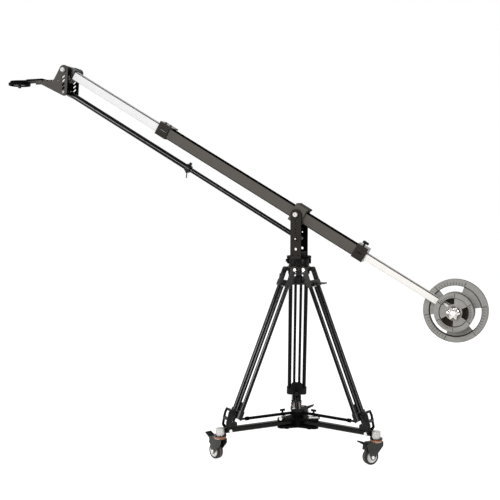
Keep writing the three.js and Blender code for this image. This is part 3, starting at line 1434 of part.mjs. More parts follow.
const headInside = (HEAD_SPACING - PLATE_THICKNESS) / 2;
const headArmBottom = HEAD_ARM_TOP_DROP + HEAD_ARM_DEPTH;

function headPlate() {
  const half = PLATE_THICKNESS / 2;
  const lobe = [0, 0, HEAD_LOBE_RADIUS];
  const toe = [0, -PARALLEL_DROP, HEAD_TOE_RADIUS];
  const knee = [BITE - HEAD_KNEE_OUT, -HEAD_ARM_TOP_DROP - BITE, BITE];
  const armKnee = [-HEAD_ARM_KNEE_OUT, BITE - headArmBottom, BITE];
  const armTopKnee = [-HEAD_ARM_KNEE_OUT, -HEAD_ARM_TOP_DROP - BITE, BITE];
  const tip = [BITE - HEAD_ARM_LENGTH, BITE - headArmBottom, BITE];
  const tipTop = [BITE - HEAD_ARM_LENGTH, -HEAD_ARM_TOP_DROP - BITE, BITE];
  const body = join([
    slabY(wrapped([lobe, toe, knee], ROUND_SIDES), -half, half),
    slabY(wrapped([toe, knee, armKnee, armTopKnee], ROUND_SIDES), -half, half),
    slabY(wrapped([armKnee, armTopKnee, tip, tipTop], SMALL_SIDES), -half, half),
  ]);
  const cutters = [
    barY(AXLE_SHAFT_RADIUS + SEAT_GAP, -half - OVERRUN, half + OVERRUN, 0, 0, ROUND_SIDES),
    barY(ROD_PIN_RADIUS + RUN_GAP, -half - OVERRUN, half + OVERRUN, 0, -PARALLEL_DROP, PLAIN_SIDES),
    barY(
      HEAD_HOLE_RADIUS,
      -half - OVERRUN,
      half + OVERRUN,
      -HEAD_HOLE_OUT,
      -HEAD_HOLE_DROP,
      SMALL_SIDES,
    ),
  ];
  const reach = (HEAD_SLOT_LENGTH - HEAD_SLOT_WIDTH) / 2;
  const slotX = reach * Math.cos(radians(HEAD_SLOT_TURN));
  const slotZ = reach * Math.sin(radians(HEAD_SLOT_TURN));
  for (let i = 0; i < HEAD_SLOT_COUNT; i += 1) {
    const z = -HEAD_SLOT_FIRST_DROP - i * HEAD_SLOT_PITCH;
    const outline = wrapped([
      [-HEAD_SLOT_OUT - slotX, z - slotZ, HEAD_SLOT_WIDTH / 2],
      [-HEAD_SLOT_OUT + slotX, z + slotZ, HEAD_SLOT_WIDTH / 2],
    ], SMALL_SIDES);
    cutters.push(slabY(outline, -half - OVERRUN, half + OVERRUN));
  }
  for (let i = 0; i < HEAD_NOTCH_COUNT; i += 1) {
    const x = -HEAD_NOTCH_FIRST_OUT - i * HEAD_NOTCH_PITCH;
    const notch = wrapped([
      [x, HEAD_NOTCH_RADIUS - HEAD_NOTCH_DEPTH - HEAD_ARM_TOP_DROP, HEAD_NOTCH_RADIUS],
      [x, OVERRUN - HEAD_ARM_TOP_DROP, HEAD_NOTCH_RADIUS],
    ], SMALL_SIDES);
    cutters.push(slabY(notch, -half - OVERRUN, half + OVERRUN));
  }
  return cut(body, cutters);
}

// The block on the front tube's end, drawn level about the head axle
function headEndBlock() {
  const z = -FRONT_SAG;
  const half = END_BLOCK_HALF_WIDTH;
  const spacer = headInside - RUN_GAP;
  const inset = FRONT_WALL + SEAT_GAP;
  const body = join([
    slabY(wrapped([
      [0, 0, END_BLOCK_RADIUS],
      [FRONT_TIP_GAP - BITE, END_BLOCK_RADIUS - BITE, BITE],
      [FRONT_TIP_GAP - BITE, BITE - END_BLOCK_RADIUS, BITE],
    ], ROUND_SIDES), -half, half),
    barY(END_BLOCK_RADIUS, -spacer, spacer, 0, 0, ROUND_SIDES),
    beam(
      FRONT_TIP_GAP - BITE,
      FRONT_TIP_GAP + END_BLOCK_PLUG_LENGTH,
      FRONT_WIDTH - inset * 2,
      z - FRONT_HEIGHT / 2 + inset,
      z + FRONT_HEIGHT / 2 - inset,
    ),
    beam(END_TAB_START, END_TAB_START + END_TAB_LENGTH, END_TAB_HALF_WIDTH * 2, -END_TAB_DROP, 0),
  ]);
  return cut(body, [
    barY(AXLE_SHAFT_RADIUS + RUN_GAP, -spacer - OVERRUN, spacer + OVERRUN, 0, 0, ROUND_SIDES),
  ]);
}

const platformBottom = -HEAD_ARM_TOP_DROP + SEAT_GAP;
const platformTop = platformBottom + PLATFORM_THICKNESS;

function cameraPlatform() {
  const halfNeck = PLATFORM_NECK_WIDTH / 2;
  const halfHead = HEAD_SPACING / 2 + PLATE_THICKNESS / 2;
  const deck = join([
    block([-PLATFORM_BLOCK_END, -halfHead, platformBottom], [-PLATFORM_START, halfHead, platformTop]),
    slabZ(wrapped([
      [-PLATFORM_BLOCK_END, halfNeck - BITE, BITE],
      [-PLATFORM_BLOCK_END, BITE - halfNeck, BITE],
      [-RING_CENTRE_OUT, 0, PLATFORM_END_RADIUS],
    ], ROUND_SIDES), platformBottom, platformTop),
  ]);
  const cutters = [
    barZ(CAMERA_RING_BORE, platformBottom - OVERRUN, platformTop + OVERRUN, -RING_CENTRE_OUT, 0, ROUND_SIDES),
  ];
  for (let i = 0; i < PLATFORM_HOLE_COUNT; i += 1) {
    for (const y of pairY(PLATFORM_HOLE_SPACING)) {
      const x = -PLATFORM_HOLE_START - i * PLATFORM_HOLE_PITCH;
      cutters.push(barZ(
        PLATFORM_HOLE_RADIUS,
        platformBottom - OVERRUN,
        platformTop + OVERRUN,
        x,
        y,
        SMALL_SIDES,
      ));
    }
  }
  return cut(deck, cutters);
}

const ringFloorTop = platformBottom - SEAT_GAP;

// The bowl ring under the platform's round end
function bowlRing() {
  const bottom = ringFloorTop - CAMERA_RING_HEIGHT;
  const inner = CAMERA_RING_RADIUS - CAMERA_RING_RIM;
  return turned([
    [CAMERA_RING_BORE, ringFloorTop - CAMERA_RING_FLOOR],
    [inner, ringFloorTop - CAMERA_RING_FLOOR],
    [inner, bottom],
    [CAMERA_RING_RADIUS, bottom],
    [CAMERA_RING_RADIUS, ringFloorTop],
    [CAMERA_RING_BORE, ringFloorTop],
    [CAMERA_RING_BORE, ringFloorTop - CAMERA_RING_FLOOR],
  ], FINE_SIDES).translate(-RING_CENTRE_OUT, 0, 0);
}

// The wide tie-down knob that holds a camera from below
function bowlKnob() {
  const top = ringFloorTop - CAMERA_RING_FLOOR - SEAT_GAP;
  return turned([
    [0, top - HEAD_KNOB_HEIGHT - HEAD_KNOB_GRIP_LENGTH],
    [HEAD_KNOB_STEM_RADIUS, top - HEAD_KNOB_HEIGHT - HEAD_KNOB_GRIP_LENGTH],
    [HEAD_KNOB_STEM_RADIUS, top - HEAD_KNOB_HEIGHT],
    [HEAD_KNOB_RADIUS, top - HEAD_KNOB_HEIGHT],
    [HEAD_KNOB_RADIUS, top],
    [HEAD_KNOB_STEM_RADIUS, top],
    [HEAD_KNOB_STEM_RADIUS, top + HEAD_KNOB_STEM_LENGTH],
    [0, top + HEAD_KNOB_STEM_LENGTH],
  ], ROUND_SIDES).translate(-RING_CENTRE_OUT, 0, 0);
}

// Counterweights, drawn about the weight shaft

// A cast plate with a raised rim and hub, a thin web and three hand openings
function weightPlate(radius, thickness, rimShare, openingShare, turn) {
  const half = thickness / 2;
  const web = (thickness * PLATE_WEB_SHARE) / 2;
  const rim = radius * rimShare;
  const hub = radius * PLATE_HUB_SHARE;
  const bore = WEIGHT_SHAFT_RADIUS + RUN_GAP;
  const shoulder = half - web / 2;
  const disc = turned([
    [bore, -half],
    [hub, -half],
    [hub, -web],
    [rim, -web],
    [rim, -half],
    [radius * PLATE_EDGE_SHARE, -half],
    [radius, -shoulder],
    [radius, shoulder],
    [radius * PLATE_EDGE_SHARE, half],
    [rim, half],
    [rim, web],
    [hub, web],
    [hub, half],
    [bore, half],
    [bore, -half],
  ], FINE_SIDES);
  const inner = radius * openingShare;
  const outer = rim * OPENING_EDGE_SHARE;
  const cutters = [];
  for (let i = 0; i < PLATE_OPENING_COUNT; i += 1) {
    const middle = radians(turn) + (i / PLATE_OPENING_COUNT) * FULL_TURN;
    const reach = radians(PLATE_OPENING_ANGLE) / 2;
    const shape = new THREE.Shape();
    shape.absarc(0, 0, outer, middle - reach, middle + reach, false);
    shape.absarc(0, 0, inner, middle + reach, middle - reach, true);
    const settings = { depth: thickness * 2, bevelEnabled: false, curveSegments: SMALL_SIDES };
    cutters.push(new THREE.ExtrudeGeometry(shape, settings).translate(0, 0, -thickness));
  }
  return cut(disc, cutters).rotateX(RIGHT_ANGLE);
}

const bigPlateY = REAR_SIZE / 2 + SEAT_GAP + BIG_PLATE_THICKNESS / 2;
const smallPlateY = -REAR_SIZE / 2 - SEAT_GAP - SMALL_PLATE_THICKNESS / 2;
const farFlangeY = bigPlateY + BIG_PLATE_THICKNESS / 2 + SEAT_GAP;
const nutY = smallPlateY - SMALL_PLATE_THICKNESS / 2 - SEAT_GAP;

function weightAxle() {
  const flangeEnd = farFlangeY + WEIGHT_FLANGE_THICKNESS;
  const nose = nutY - NUT_FLANGE_THICKNESS - NUT_STAR_THICKNESS - WEIGHT_SHAFT_NOSE;
  return join([
    barY(WEIGHT_SHAFT_RADIUS, nose, flangeEnd, 0, 0, PLAIN_SIDES),
    barY(WEIGHT_FLANGE_RADIUS, farFlangeY, flangeEnd, 0, 0, ROUND_SIDES),
  ]);
}

function starNut() {
  const flangeEnd = nutY - NUT_FLANGE_THICKNESS;
  const starEnd = flangeEnd - NUT_STAR_THICKNESS;
  const body = join([
    barY(NUT_FLANGE_RADIUS, flangeEnd, nutY, 0, 0, ROUND_SIDES),
    slabY(starPoints(NUT_TIP_RADIUS, NUT_VALLEY_RADIUS, NUT_POINT_COUNT), starEnd, flangeEnd + BITE),
  ]);
  return cut(body, [
    barY(WEIGHT_SHAFT_RADIUS + RUN_GAP, starEnd - OVERRUN, nutY + OVERRUN, 0, 0, ROUND_SIDES),
  ]);
}

// Assembly

const dolly = [piece('dolly_hub', dollyHub(), blackCoat())];
const tripod = [piece('tripod_crown', tripodCrown(), blackCoat())];
const spreader = [piece('spreader_hub', spreaderHub(), blackPlastic())];

LEG_ANGLES.forEach((angle, i) => {
  const number = i + 1;
  const spoke = groupOf([
    piece(`dolly_arm_${number}`, dollyArm(), blackCoat()),
    piece(`foot_clamp_${number}`, footClamp(), blackCoat()),
    piece(`spreader_arm_${number}`, spreaderArm(), blackCoat()),
    piece(`leg_${number}_inner_tubes`, legInnerTubes(), blackCoat()),
  ]);
  const caster = groupOf([
    piece(`caster_fork_${number}`, casterFork(), forkGrey()),
    piece(`caster_wheel_${number}`, casterWheel(), tyreBrown()),
    piece(`brake_pedal_${number}`, brakePedal(), blackPlastic()),
  ]);
  caster.position.x = CASTER_RADIUS;
  caster.rotation.z = radians(CASTER_TURNS[i]);
  const lock = legLock();
  const lockMesh = piece(`leg_lock_${number}`, lock.geometry, blackPlastic());
  lockMesh.position.set(...lock.place);
  lockMesh.rotation.y = radians(LEG_LOCK_TURNS[i]);
  const leg = groupOf([
    piece(`leg_${number}_top_casting`, legTopCasting(), blackCoat()),
    piece(`leg_${number}_outer_tubes`, legOuterTubes(), blackCoat()),
    lockMesh,
  ]);
  leg.position.set(LEG_HINGE_RADIUS, 0, LEG_HINGE_HEIGHT);
  leg.rotation.y = -legTiltAngle;
  spoke.add(caster, leg);
  spoke.rotation.z = radians(angle);
  tripod.push(spoke);
});

const panKnobMesh = piece('pan_lock_knob', panKnob(), blackPlastic());
panKnobMesh.rotation.z = radians(PAN_KNOB_TURNS[0]);
const panParts = [piece('pan_base', panBase(), blackCoat()), panKnobMesh];

const nearYoke = piece('yoke_near_plate', yokePlate(), graphite());
nearYoke.position.set(0, -YOKE_SPACING / 2, PIVOT_HEIGHT);
const farYoke = piece('yoke_far_plate', yokePlate(), graphite());
farYoke.position.set(0, YOKE_SPACING / 2, PIVOT_HEIGHT);
const pivotAxleShape = crossAxle(YOKE_SPACING, AXLE_SHAFT_RADIUS, AXLE_NOSE_LENGTH);
const pivotAxle = piece('pivot_axle', pivotAxleShape, brightSteel());
pivotAxle.position.z = PIVOT_HEIGHT;
const yoke = [piece('yoke_base', yokeBase(), blackCoat()), nearYoke, farYoke, pivotAxle];

const frontCollar = piece(
  'front_collar',
  collar(FRONT_COLLAR_LENGTH, FRONT_SLAB_OVERHANG, FRONT_WIDTH, FRONT_HEIGHT, FRONT_SAG),
  blackCoat(),
);
frontCollar.position.x = -OUTER_FRONT;
const rearCollar = piece(
  'rear_collar',
  collar(REAR_COLLAR_LENGTH, REAR_SLAB_OVERHANG, REAR_SIZE, REAR_SIZE, REAR_SAG),
  blackCoat(),
);
rearCollar.position.x = OUTER_REAR;
rearCollar.rotation.z = HALF_TURN;
const rearKnob = piece('rear_lock_knob', handKnob(), blackPlastic());
rearKnob.position.set(
  OUTER_REAR - REAR_COLLAR_LENGTH / 2,
  0,
  OUTER_HEIGHT / 2 + SEAT_GAP + COLLAR_TOP + SEAT_GAP,
);

const headAxleShape = crossAxle(HEAD_SPACING, HEAD_KNOB_END_RADIUS, HEAD_KNOB_END_LENGTH);
const head = groupOf([
  piece('camera_platform', cameraPlatform(), blackCoat()),
  piece('bowl_ring', bowlRing(), blackCoat()),
  piece('bowl_knob', bowlKnob(), blackPlastic()),
  piece('head_axle', headAxleShape, brightSteel()),
]);
const nearHead = piece('head_near_plate', headPlate(), greyPlate());
nearHead.position.y = -HEAD_SPACING / 2;
const farHead = piece('head_far_plate', headPlate(), greyPlate());
farHead.position.y = HEAD_SPACING / 2;
head.add(nearHead, farHead);
head.position.x = -HEAD_REACH;
head.rotation.y = -radians(BOOM_TILT);

const endBlock = piece('head_end_block', headEndBlock(), blackCoat());
endBlock.position.x = -HEAD_REACH;

const weights = groupOf([
  piece('weight_axle', weightAxle(), brightSteel()),
  piece('star_nut', starNut(), brightSteel()),
]);
const bigPlate = piece(
  'weight_large',
  weightPlate(
    BIG_PLATE_RADIUS,
    BIG_PLATE_THICKNESS,
    BIG_RIM_SHARE,
    BIG_OPENING_SHARE,
    BIG_PLATE_TURN,
  ),
  castGrey(),
);
bigPlate.position.y = bigPlateY;
const smallPlate = piece(
  'weight_small',
  weightPlate(
    SMALL_PLATE_RADIUS,
    SMALL_PLATE_THICKNESS,
    SMALL_RIM_SHARE,
    SMALL_OPENING_SHARE,
    SMALL_PLATE_TURN,
  ),
  castGrey(),
);
smallPlate.position.y = smallPlateY;
weights.add(bigPlate, smallPlate);
weights.position.set(WEIGHT_REACH, 0, -REAR_SAG);

const boom = groupOf([
  piece('boom_outer_tube', boomOuterTube(), graphite()),
  piece('saddle', saddle(), graphite()),
  frontCollar,
  rearCollar,
  rearKnob,
  piece('front_tube', frontTube(), bareAluminium()),
  piece('rear_tube', rearTube(), bareAluminium()),
  endBlock,
  head,
  weights,
]);
boom.position.z = PIVOT_HEIGHT;
boom.rotation.y = radians(BOOM_TILT);

const rodFrontMesh = piece('rod_front', rodFront(), blackCoat());
rodFrontMesh.position.x = -rodLength;
const rodClampMesh = piece('rod_clamp', rodClamp(), blackPlastic());
rodClampMesh.position.x = -ROD_CLAMP_CENTRE;
const rod = groupOf([piece('rod_rear', rodRear(), blackCoat()), rodFrontMesh, rodClampMesh]);
rod.position.z = PIVOT_HEIGHT - PARALLEL_DROP;
rod.rotation.y = radians(BOOM_TILT);

// The origin is on the floor under the middle of the whole crane
const crane = groupOf([...dolly, ...tripod, ...spreader, ...panParts, ...yoke, boom, rod]);
crane.updateMatrixWorld(true);
const bounds = new THREE.Box3().setFromObject(crane, true);
const middle = bounds.getCenter(new THREE.Vector3());
crane.position.set(-middle.x, -middle.y, -bounds.min.z);

const group = new THREE.Group();
group.add(crane);
group.updateMatrixWorld(true);

export default group;
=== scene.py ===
# %% [markdown]
# # A camera jib crane, dressed in Blender
#
# A jib crane carries a film camera on the end of a long boom. Counterweights sit on the other
# end, a thin rod under the boom keeps the camera level, and the whole machine stands on a
# tripod that is clamped to a three-wheel dolly.
#
# The solid parts come from a CAD model that is already packed. Blender could model it all again,
# but the CAD pieces are right in size and place, so this lesson keeps them as the guide: each one
# gets rounded edges and a real finish, and the round or moulded ones are made again with finer
# shapes.

import json
import math

import bmesh
import bpy
from mathutils import Matrix, Vector

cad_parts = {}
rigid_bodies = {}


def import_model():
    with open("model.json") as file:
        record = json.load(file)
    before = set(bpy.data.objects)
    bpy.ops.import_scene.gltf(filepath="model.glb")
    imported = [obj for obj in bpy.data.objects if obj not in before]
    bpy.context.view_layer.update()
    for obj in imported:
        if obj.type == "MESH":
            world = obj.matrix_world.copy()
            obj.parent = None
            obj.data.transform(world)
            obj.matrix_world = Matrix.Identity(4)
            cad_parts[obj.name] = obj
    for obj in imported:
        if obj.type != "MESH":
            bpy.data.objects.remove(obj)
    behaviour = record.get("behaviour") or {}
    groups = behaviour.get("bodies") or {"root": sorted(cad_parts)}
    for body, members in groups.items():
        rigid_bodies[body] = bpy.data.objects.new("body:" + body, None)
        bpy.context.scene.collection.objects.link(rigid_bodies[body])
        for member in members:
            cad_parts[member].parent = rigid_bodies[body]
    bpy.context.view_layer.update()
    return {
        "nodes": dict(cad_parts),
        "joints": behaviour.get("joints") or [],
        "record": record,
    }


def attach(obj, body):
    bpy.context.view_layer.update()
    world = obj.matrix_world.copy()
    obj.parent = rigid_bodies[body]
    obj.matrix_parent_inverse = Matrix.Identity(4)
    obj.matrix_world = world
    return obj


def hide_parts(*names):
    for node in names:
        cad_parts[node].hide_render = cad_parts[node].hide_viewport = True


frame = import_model()
joints = {joint["name"]: joint for joint in frame["joints"]}
print("pieces in the CAD model:", len(frame["nodes"]), "joints:", len(joints))

# %% [markdown]
# ## Where things are
#
# Every piece of the crane is easiest to draw in the place where a maker would draw it: a leg
# along its own tubes, a wheel about its own axle, the boom lying level. A matrix then carries the
# drawing to its place in the standing crane. The joints of the CAD model give those places, so
# nothing is measured twice. All lengths are in metres.

# %% Places of the main assemblies
BOOM_TILT = math.radians(30.3)
LEG_TILT = math.radians(22.45)
SPOKE_ANGLES = [math.radians(angle) for angle in (108.5, 226.7, 347.0)]
LEG_HINGE = Vector((0.0545, 0.0, 0.895))
ROD_DROP = 0.117
HEAD_REACH = 1.502
CASTER_REACH = 0.423

pivot = Vector(joints["boom_tilt"]["pos_m"])
pan_axis = Vector((pivot.x, pivot.y, 0.0))


def turn(angle, axis):
    """A turn about one axis of the current place, in radians."""
    return Matrix.Rotation(angle, 4, axis)


def move(x, y, z):
    """A shift along the axes of the current place, in metres."""
    return Matrix.Translation((x, y, z))


CRANE = move(*pan_axis)
SPOKES = [CRANE @ turn(angle, "Z") for angle in SPOKE_ANGLES]
LEGS = [spoke @ move(*LEG_HINGE) @ turn(-LEG_TILT, "Y") for spoke in SPOKES]
BOOM = move(*pivot) @ turn(BOOM_TILT, "Y")
HEAD = BOOM @ move(-HEAD_REACH, 0, 0) @ turn(-BOOM_TILT, "Y")
ROD = move(0, 0, -ROD_DROP) @ BOOM
WEIGHTS = move(*joints["weight_nut"]["pos_m"])
CASTERS = []
for number in (1, 2, 3):
    stem = Vector(joints[f"caster_swivel_{number}"]["pos_m"])
    axle = Vector(joints[f"wheel_spin_{number}"]["pos_m"])
    trail = math.atan2(axle.y - stem.y, axle.x - stem.x)
    CASTERS.append(move(stem.x, stem.y, 0) @ turn(trail, "Z"))
CASTER_TRAIL = math.hypot(axle.x - stem.x, axle.y - stem.y)   # alike in all three
LEVEL = turn(math.pi / 2, "X")   # lays what was turned about Z along Y
print("head axle at", [round(value, 3) for value in HEAD.translation])

# %% [markdown]
# ## The camera
#
# A photograph of a large object is always in perspective. The camera's place, its lens and its
# tilt were worked out from edges whose real positions are known, so the render has the same view
# as the photograph. A camera placed by eye would need many tries for the same result.

# %% Camera
CAMERA_PLACE = pan_axis + Vector((1.1748, -3.8312, 1.2372))
CAMERA_HEADING = math.atan2(0.350, 0.9367)
CAMERA_PITCH = math.radians(3.59)
CAMERA_ROLL = math.radians(0.14)
FOCAL_SHARE = 817.72 / 500   # focal length as a share of the picture's width

camera_data = bpy.data.cameras.new("photo_camera")
camera_data.sensor_width = 36.0
camera_data.lens = FOCAL_SHARE * camera_data.sensor_width
camera = bpy.data.objects.new("photo_camera", camera_data)
bpy.context.collection.objects.link(camera)
camera.matrix_world = (
    Matrix.Translation(CAMERA_PLACE)
    @ turn(CAMERA_HEADING, "Z")
    @ turn(math.pi / 2 - CAMERA_PITCH, "X")
    @ turn(CAMERA_ROLL, "Z")
)
bpy.context.scene.camera = camera
bpy.context.scene.view_settings.view_transform = "Standard"
print("lens", round(camera_data.lens, 1), "mm")

# %% [markdown]
# ## Light and floor
#
# A product studio lights the object from the front with one large soft lamp and fills it from
# behind with a weaker one. The sweep behind must look white but must not add light to the
# object, so the world and the floor are bright only for rays that come straight from the camera
# or from a reflection. The Light Path node tells these rays apart.
#
# Three more boxes are there only to be mirrored: each one draws a thin bright line along a round
# black tube. The matt pieces would only get noisier from them, so light linking lets them reach
# nothing but a collection of glossy pieces, which is filled when all pieces are made.

# %% Light that only shows
LIGHT_LEVEL = 0.32
FLOOR_GLOW = 0.80
FLOOR_COLOUR = (0.72, 0.72, 0.72, 1.0)
WHITE = (1.0, 1.0, 1.0, 1.0)


def seen_directly(nodes, links):
    """A socket that is 1 for rays from the camera, a mirror or glass, and 0 for the others."""
    path = nodes.new("ShaderNodeLightPath")
    first = nodes.new("ShaderNodeMath")
    first.operation = "MAXIMUM"
    second = nodes.new("ShaderNodeMath")
    second.operation = "MAXIMUM"
    links.new(path.outputs["Is Camera Ray"], first.inputs[0])
    links.new(path.outputs["Is Glossy Ray"], first.inputs[1])
    links.new(first.outputs[0], second.inputs[0])
    links.new(path.outputs["Is Transmission Ray"], second.inputs[1])
    return second.outputs[0]


world = bpy.data.worlds.new("studio")
bpy.context.scene.world = world
world.use_nodes = True
nodes, links = world.node_tree.nodes, world.node_tree.links
nodes.clear()
dim = nodes.new("ShaderNodeBackground")
dim.inputs["Color"].default_value = WHITE
dim.inputs["Strength"].default_value = LIGHT_LEVEL
bright = nodes.new("ShaderNodeBackground")
bright.inputs["Color"].default_value = WHITE
bright.inputs["Strength"].default_value = 1.0
mix = nodes.new("ShaderNodeMixShader")
output = nodes.new("ShaderNodeOutputWorld")
links.new(seen_directly(nodes, links), mix.inputs[0])
links.new(dim.outputs[0], mix.inputs[1])
links.new(bright.outputs[0], mix.inputs[2])
links.new(mix.outputs[0], output.inputs["Surface"])
print("world light", LIGHT_LEVEL, "and white behind")

# %% Lamps
LAMP_TARGET = Vector((0.0, 0.0, 1.0))
# name, place, width, height, watts, use
LAMPS = [
    ("key", (0.2, -5.0, 2.6), 3.0, 3.0, 205.0, "soft"),
    ("back_fill", (0.4, 4.2, 2.6), 2.6, 2.6, 38.0, "soft"),
    ("left_box", (-3.6, -3.0, 1.7), 1.4, 1.8, 180.0, "mirrored"),
    ("right_box", (4.2, -2.4, 1.7), 1.4, 1.8, 260.0, "mirrored"),
    ("front_bar", (-2.0, -4.9, 2.5), 3.4, 1.0, 560.0, "mirrored"),
]
glossy_pieces = bpy.data.collections.new("glossy_pieces")
for name, place, width, height, power, use in LAMPS:
    lamp_data = bpy.data.lights.new(name, "AREA")
    lamp_data.shape = "RECTANGLE"
    lamp_data.size = width
    lamp_data.size_y = height
    lamp_data.energy = power
    lamp = bpy.data.objects.new(name, lamp_data)
    lamp.location = place
    lamp.visible_camera = False
    lamp.visible_diffuse = use == "soft"
    lamp.visible_glossy = use == "mirrored"
    if use == "mirrored":
        lamp.light_linking.receiver_collection = glossy_pieces
    aim = LAMP_TARGET - Vector(place)
    lamp.rotation_euler = aim.to_track_quat("-Z", "Y").to_euler()
    bpy.context.collection.objects.link(lamp)
print("lamps:", len(LAMPS))

# %% Floor
FLOOR_RADIUS, FLOOR_GAP = 60.0, 0.0005
floor_mesh = bpy.data.meshes.new("floor")
bm = bmesh.new()
bmesh.ops.create_circle(bm, cap_ends=True, segments=64, radius=FLOOR_RADIUS)
bm.to_mesh(floor_mesh)
bm.free()
floor = bpy.data.objects.new("floor", floor_mesh)
floor.location.z = -FLOOR_GAP
bpy.context.collection.objects.link(floor)
floor_finish = bpy.data.materials.new("pale_floor")
floor_finish.use_nodes = True
nodes, links = floor_finish.node_tree.nodes, floor_finish.node_tree.links
nodes.clear()
matt = nodes.new("ShaderNodeBsdfDiffuse")
matt.inputs["Color"].default_value = FLOOR_COLOUR
glow = nodes.new("ShaderNodeEmission")
glow.inputs["Color"].default_value = WHITE
glow.inputs["Strength"].default_value = FLOOR_GLOW
both = nodes.new("ShaderNodeAddShader")
mix = nodes.new("ShaderNodeMixShader")
output = nodes.new("ShaderNodeOutputMaterial")
links.new(matt.outputs[0], both.inputs[0])
links.new(glow.outputs[0], both.inputs[1])
links.new(seen_directly(nodes, links), mix.inputs[0])
links.new(matt.outputs[0], mix.inputs[1])
links.new(both.outputs[0], mix.inputs[2])
links.new(mix.outputs[0], output.inputs["Surface"])
floor_mesh.materials.append(floor_finish)
print("floor radius", FLOOR_RADIUS, "m")

# %% [markdown]
# ## Finishes
#
# A metal tube is never one flat colour. Drawn tube has fine lines along its length, powder coat
# has an orange-peel surface, cast iron is pitted, and every handled edge is a little polished.
# All of these come from noise textures, which need no picture and have no seams. The shader's
# own sockets hold what is the same everywhere, and the noise drives only what changes.
#
# One helper builds every finish from the same recipe: a slow noise for patches of colour, a fine
# noise that can be stretched into lines, a bump from that fine noise, and a lighter colour on
# the edges. Pointiness would be the simple way to find edges, but it is stored per vertex and
# these pieces have few of them. The Bevel node looks for a turn of the surface near each point,
# which works on any mesh.

# %% A recipe for all finishes
NOISE_LOW, NOISE_HIGH = 0.3, 0.7
STILL_FLAT, FULLY_TURNED = 0.99, 0.86
EDGE_REACH, EDGE_SAMPLES, WORN_GAIN = 0.0011, 4, 1.8
FINE_DETAIL, SLOW_DETAIL = 3.0, 4.0


def linear(value):
    """A screen value from 0 to 255 as a share of light."""
    share = value / 255
    return share / 12.92 if share <= 0.04045 else ((share + 0.055) / 1.055) ** 2.4


def colour_of(rgb, gain=1.0):
    """A shader colour from three screen values."""
    return tuple(min(1.0, linear(value) * gain) for value in rgb) + (1.0,)


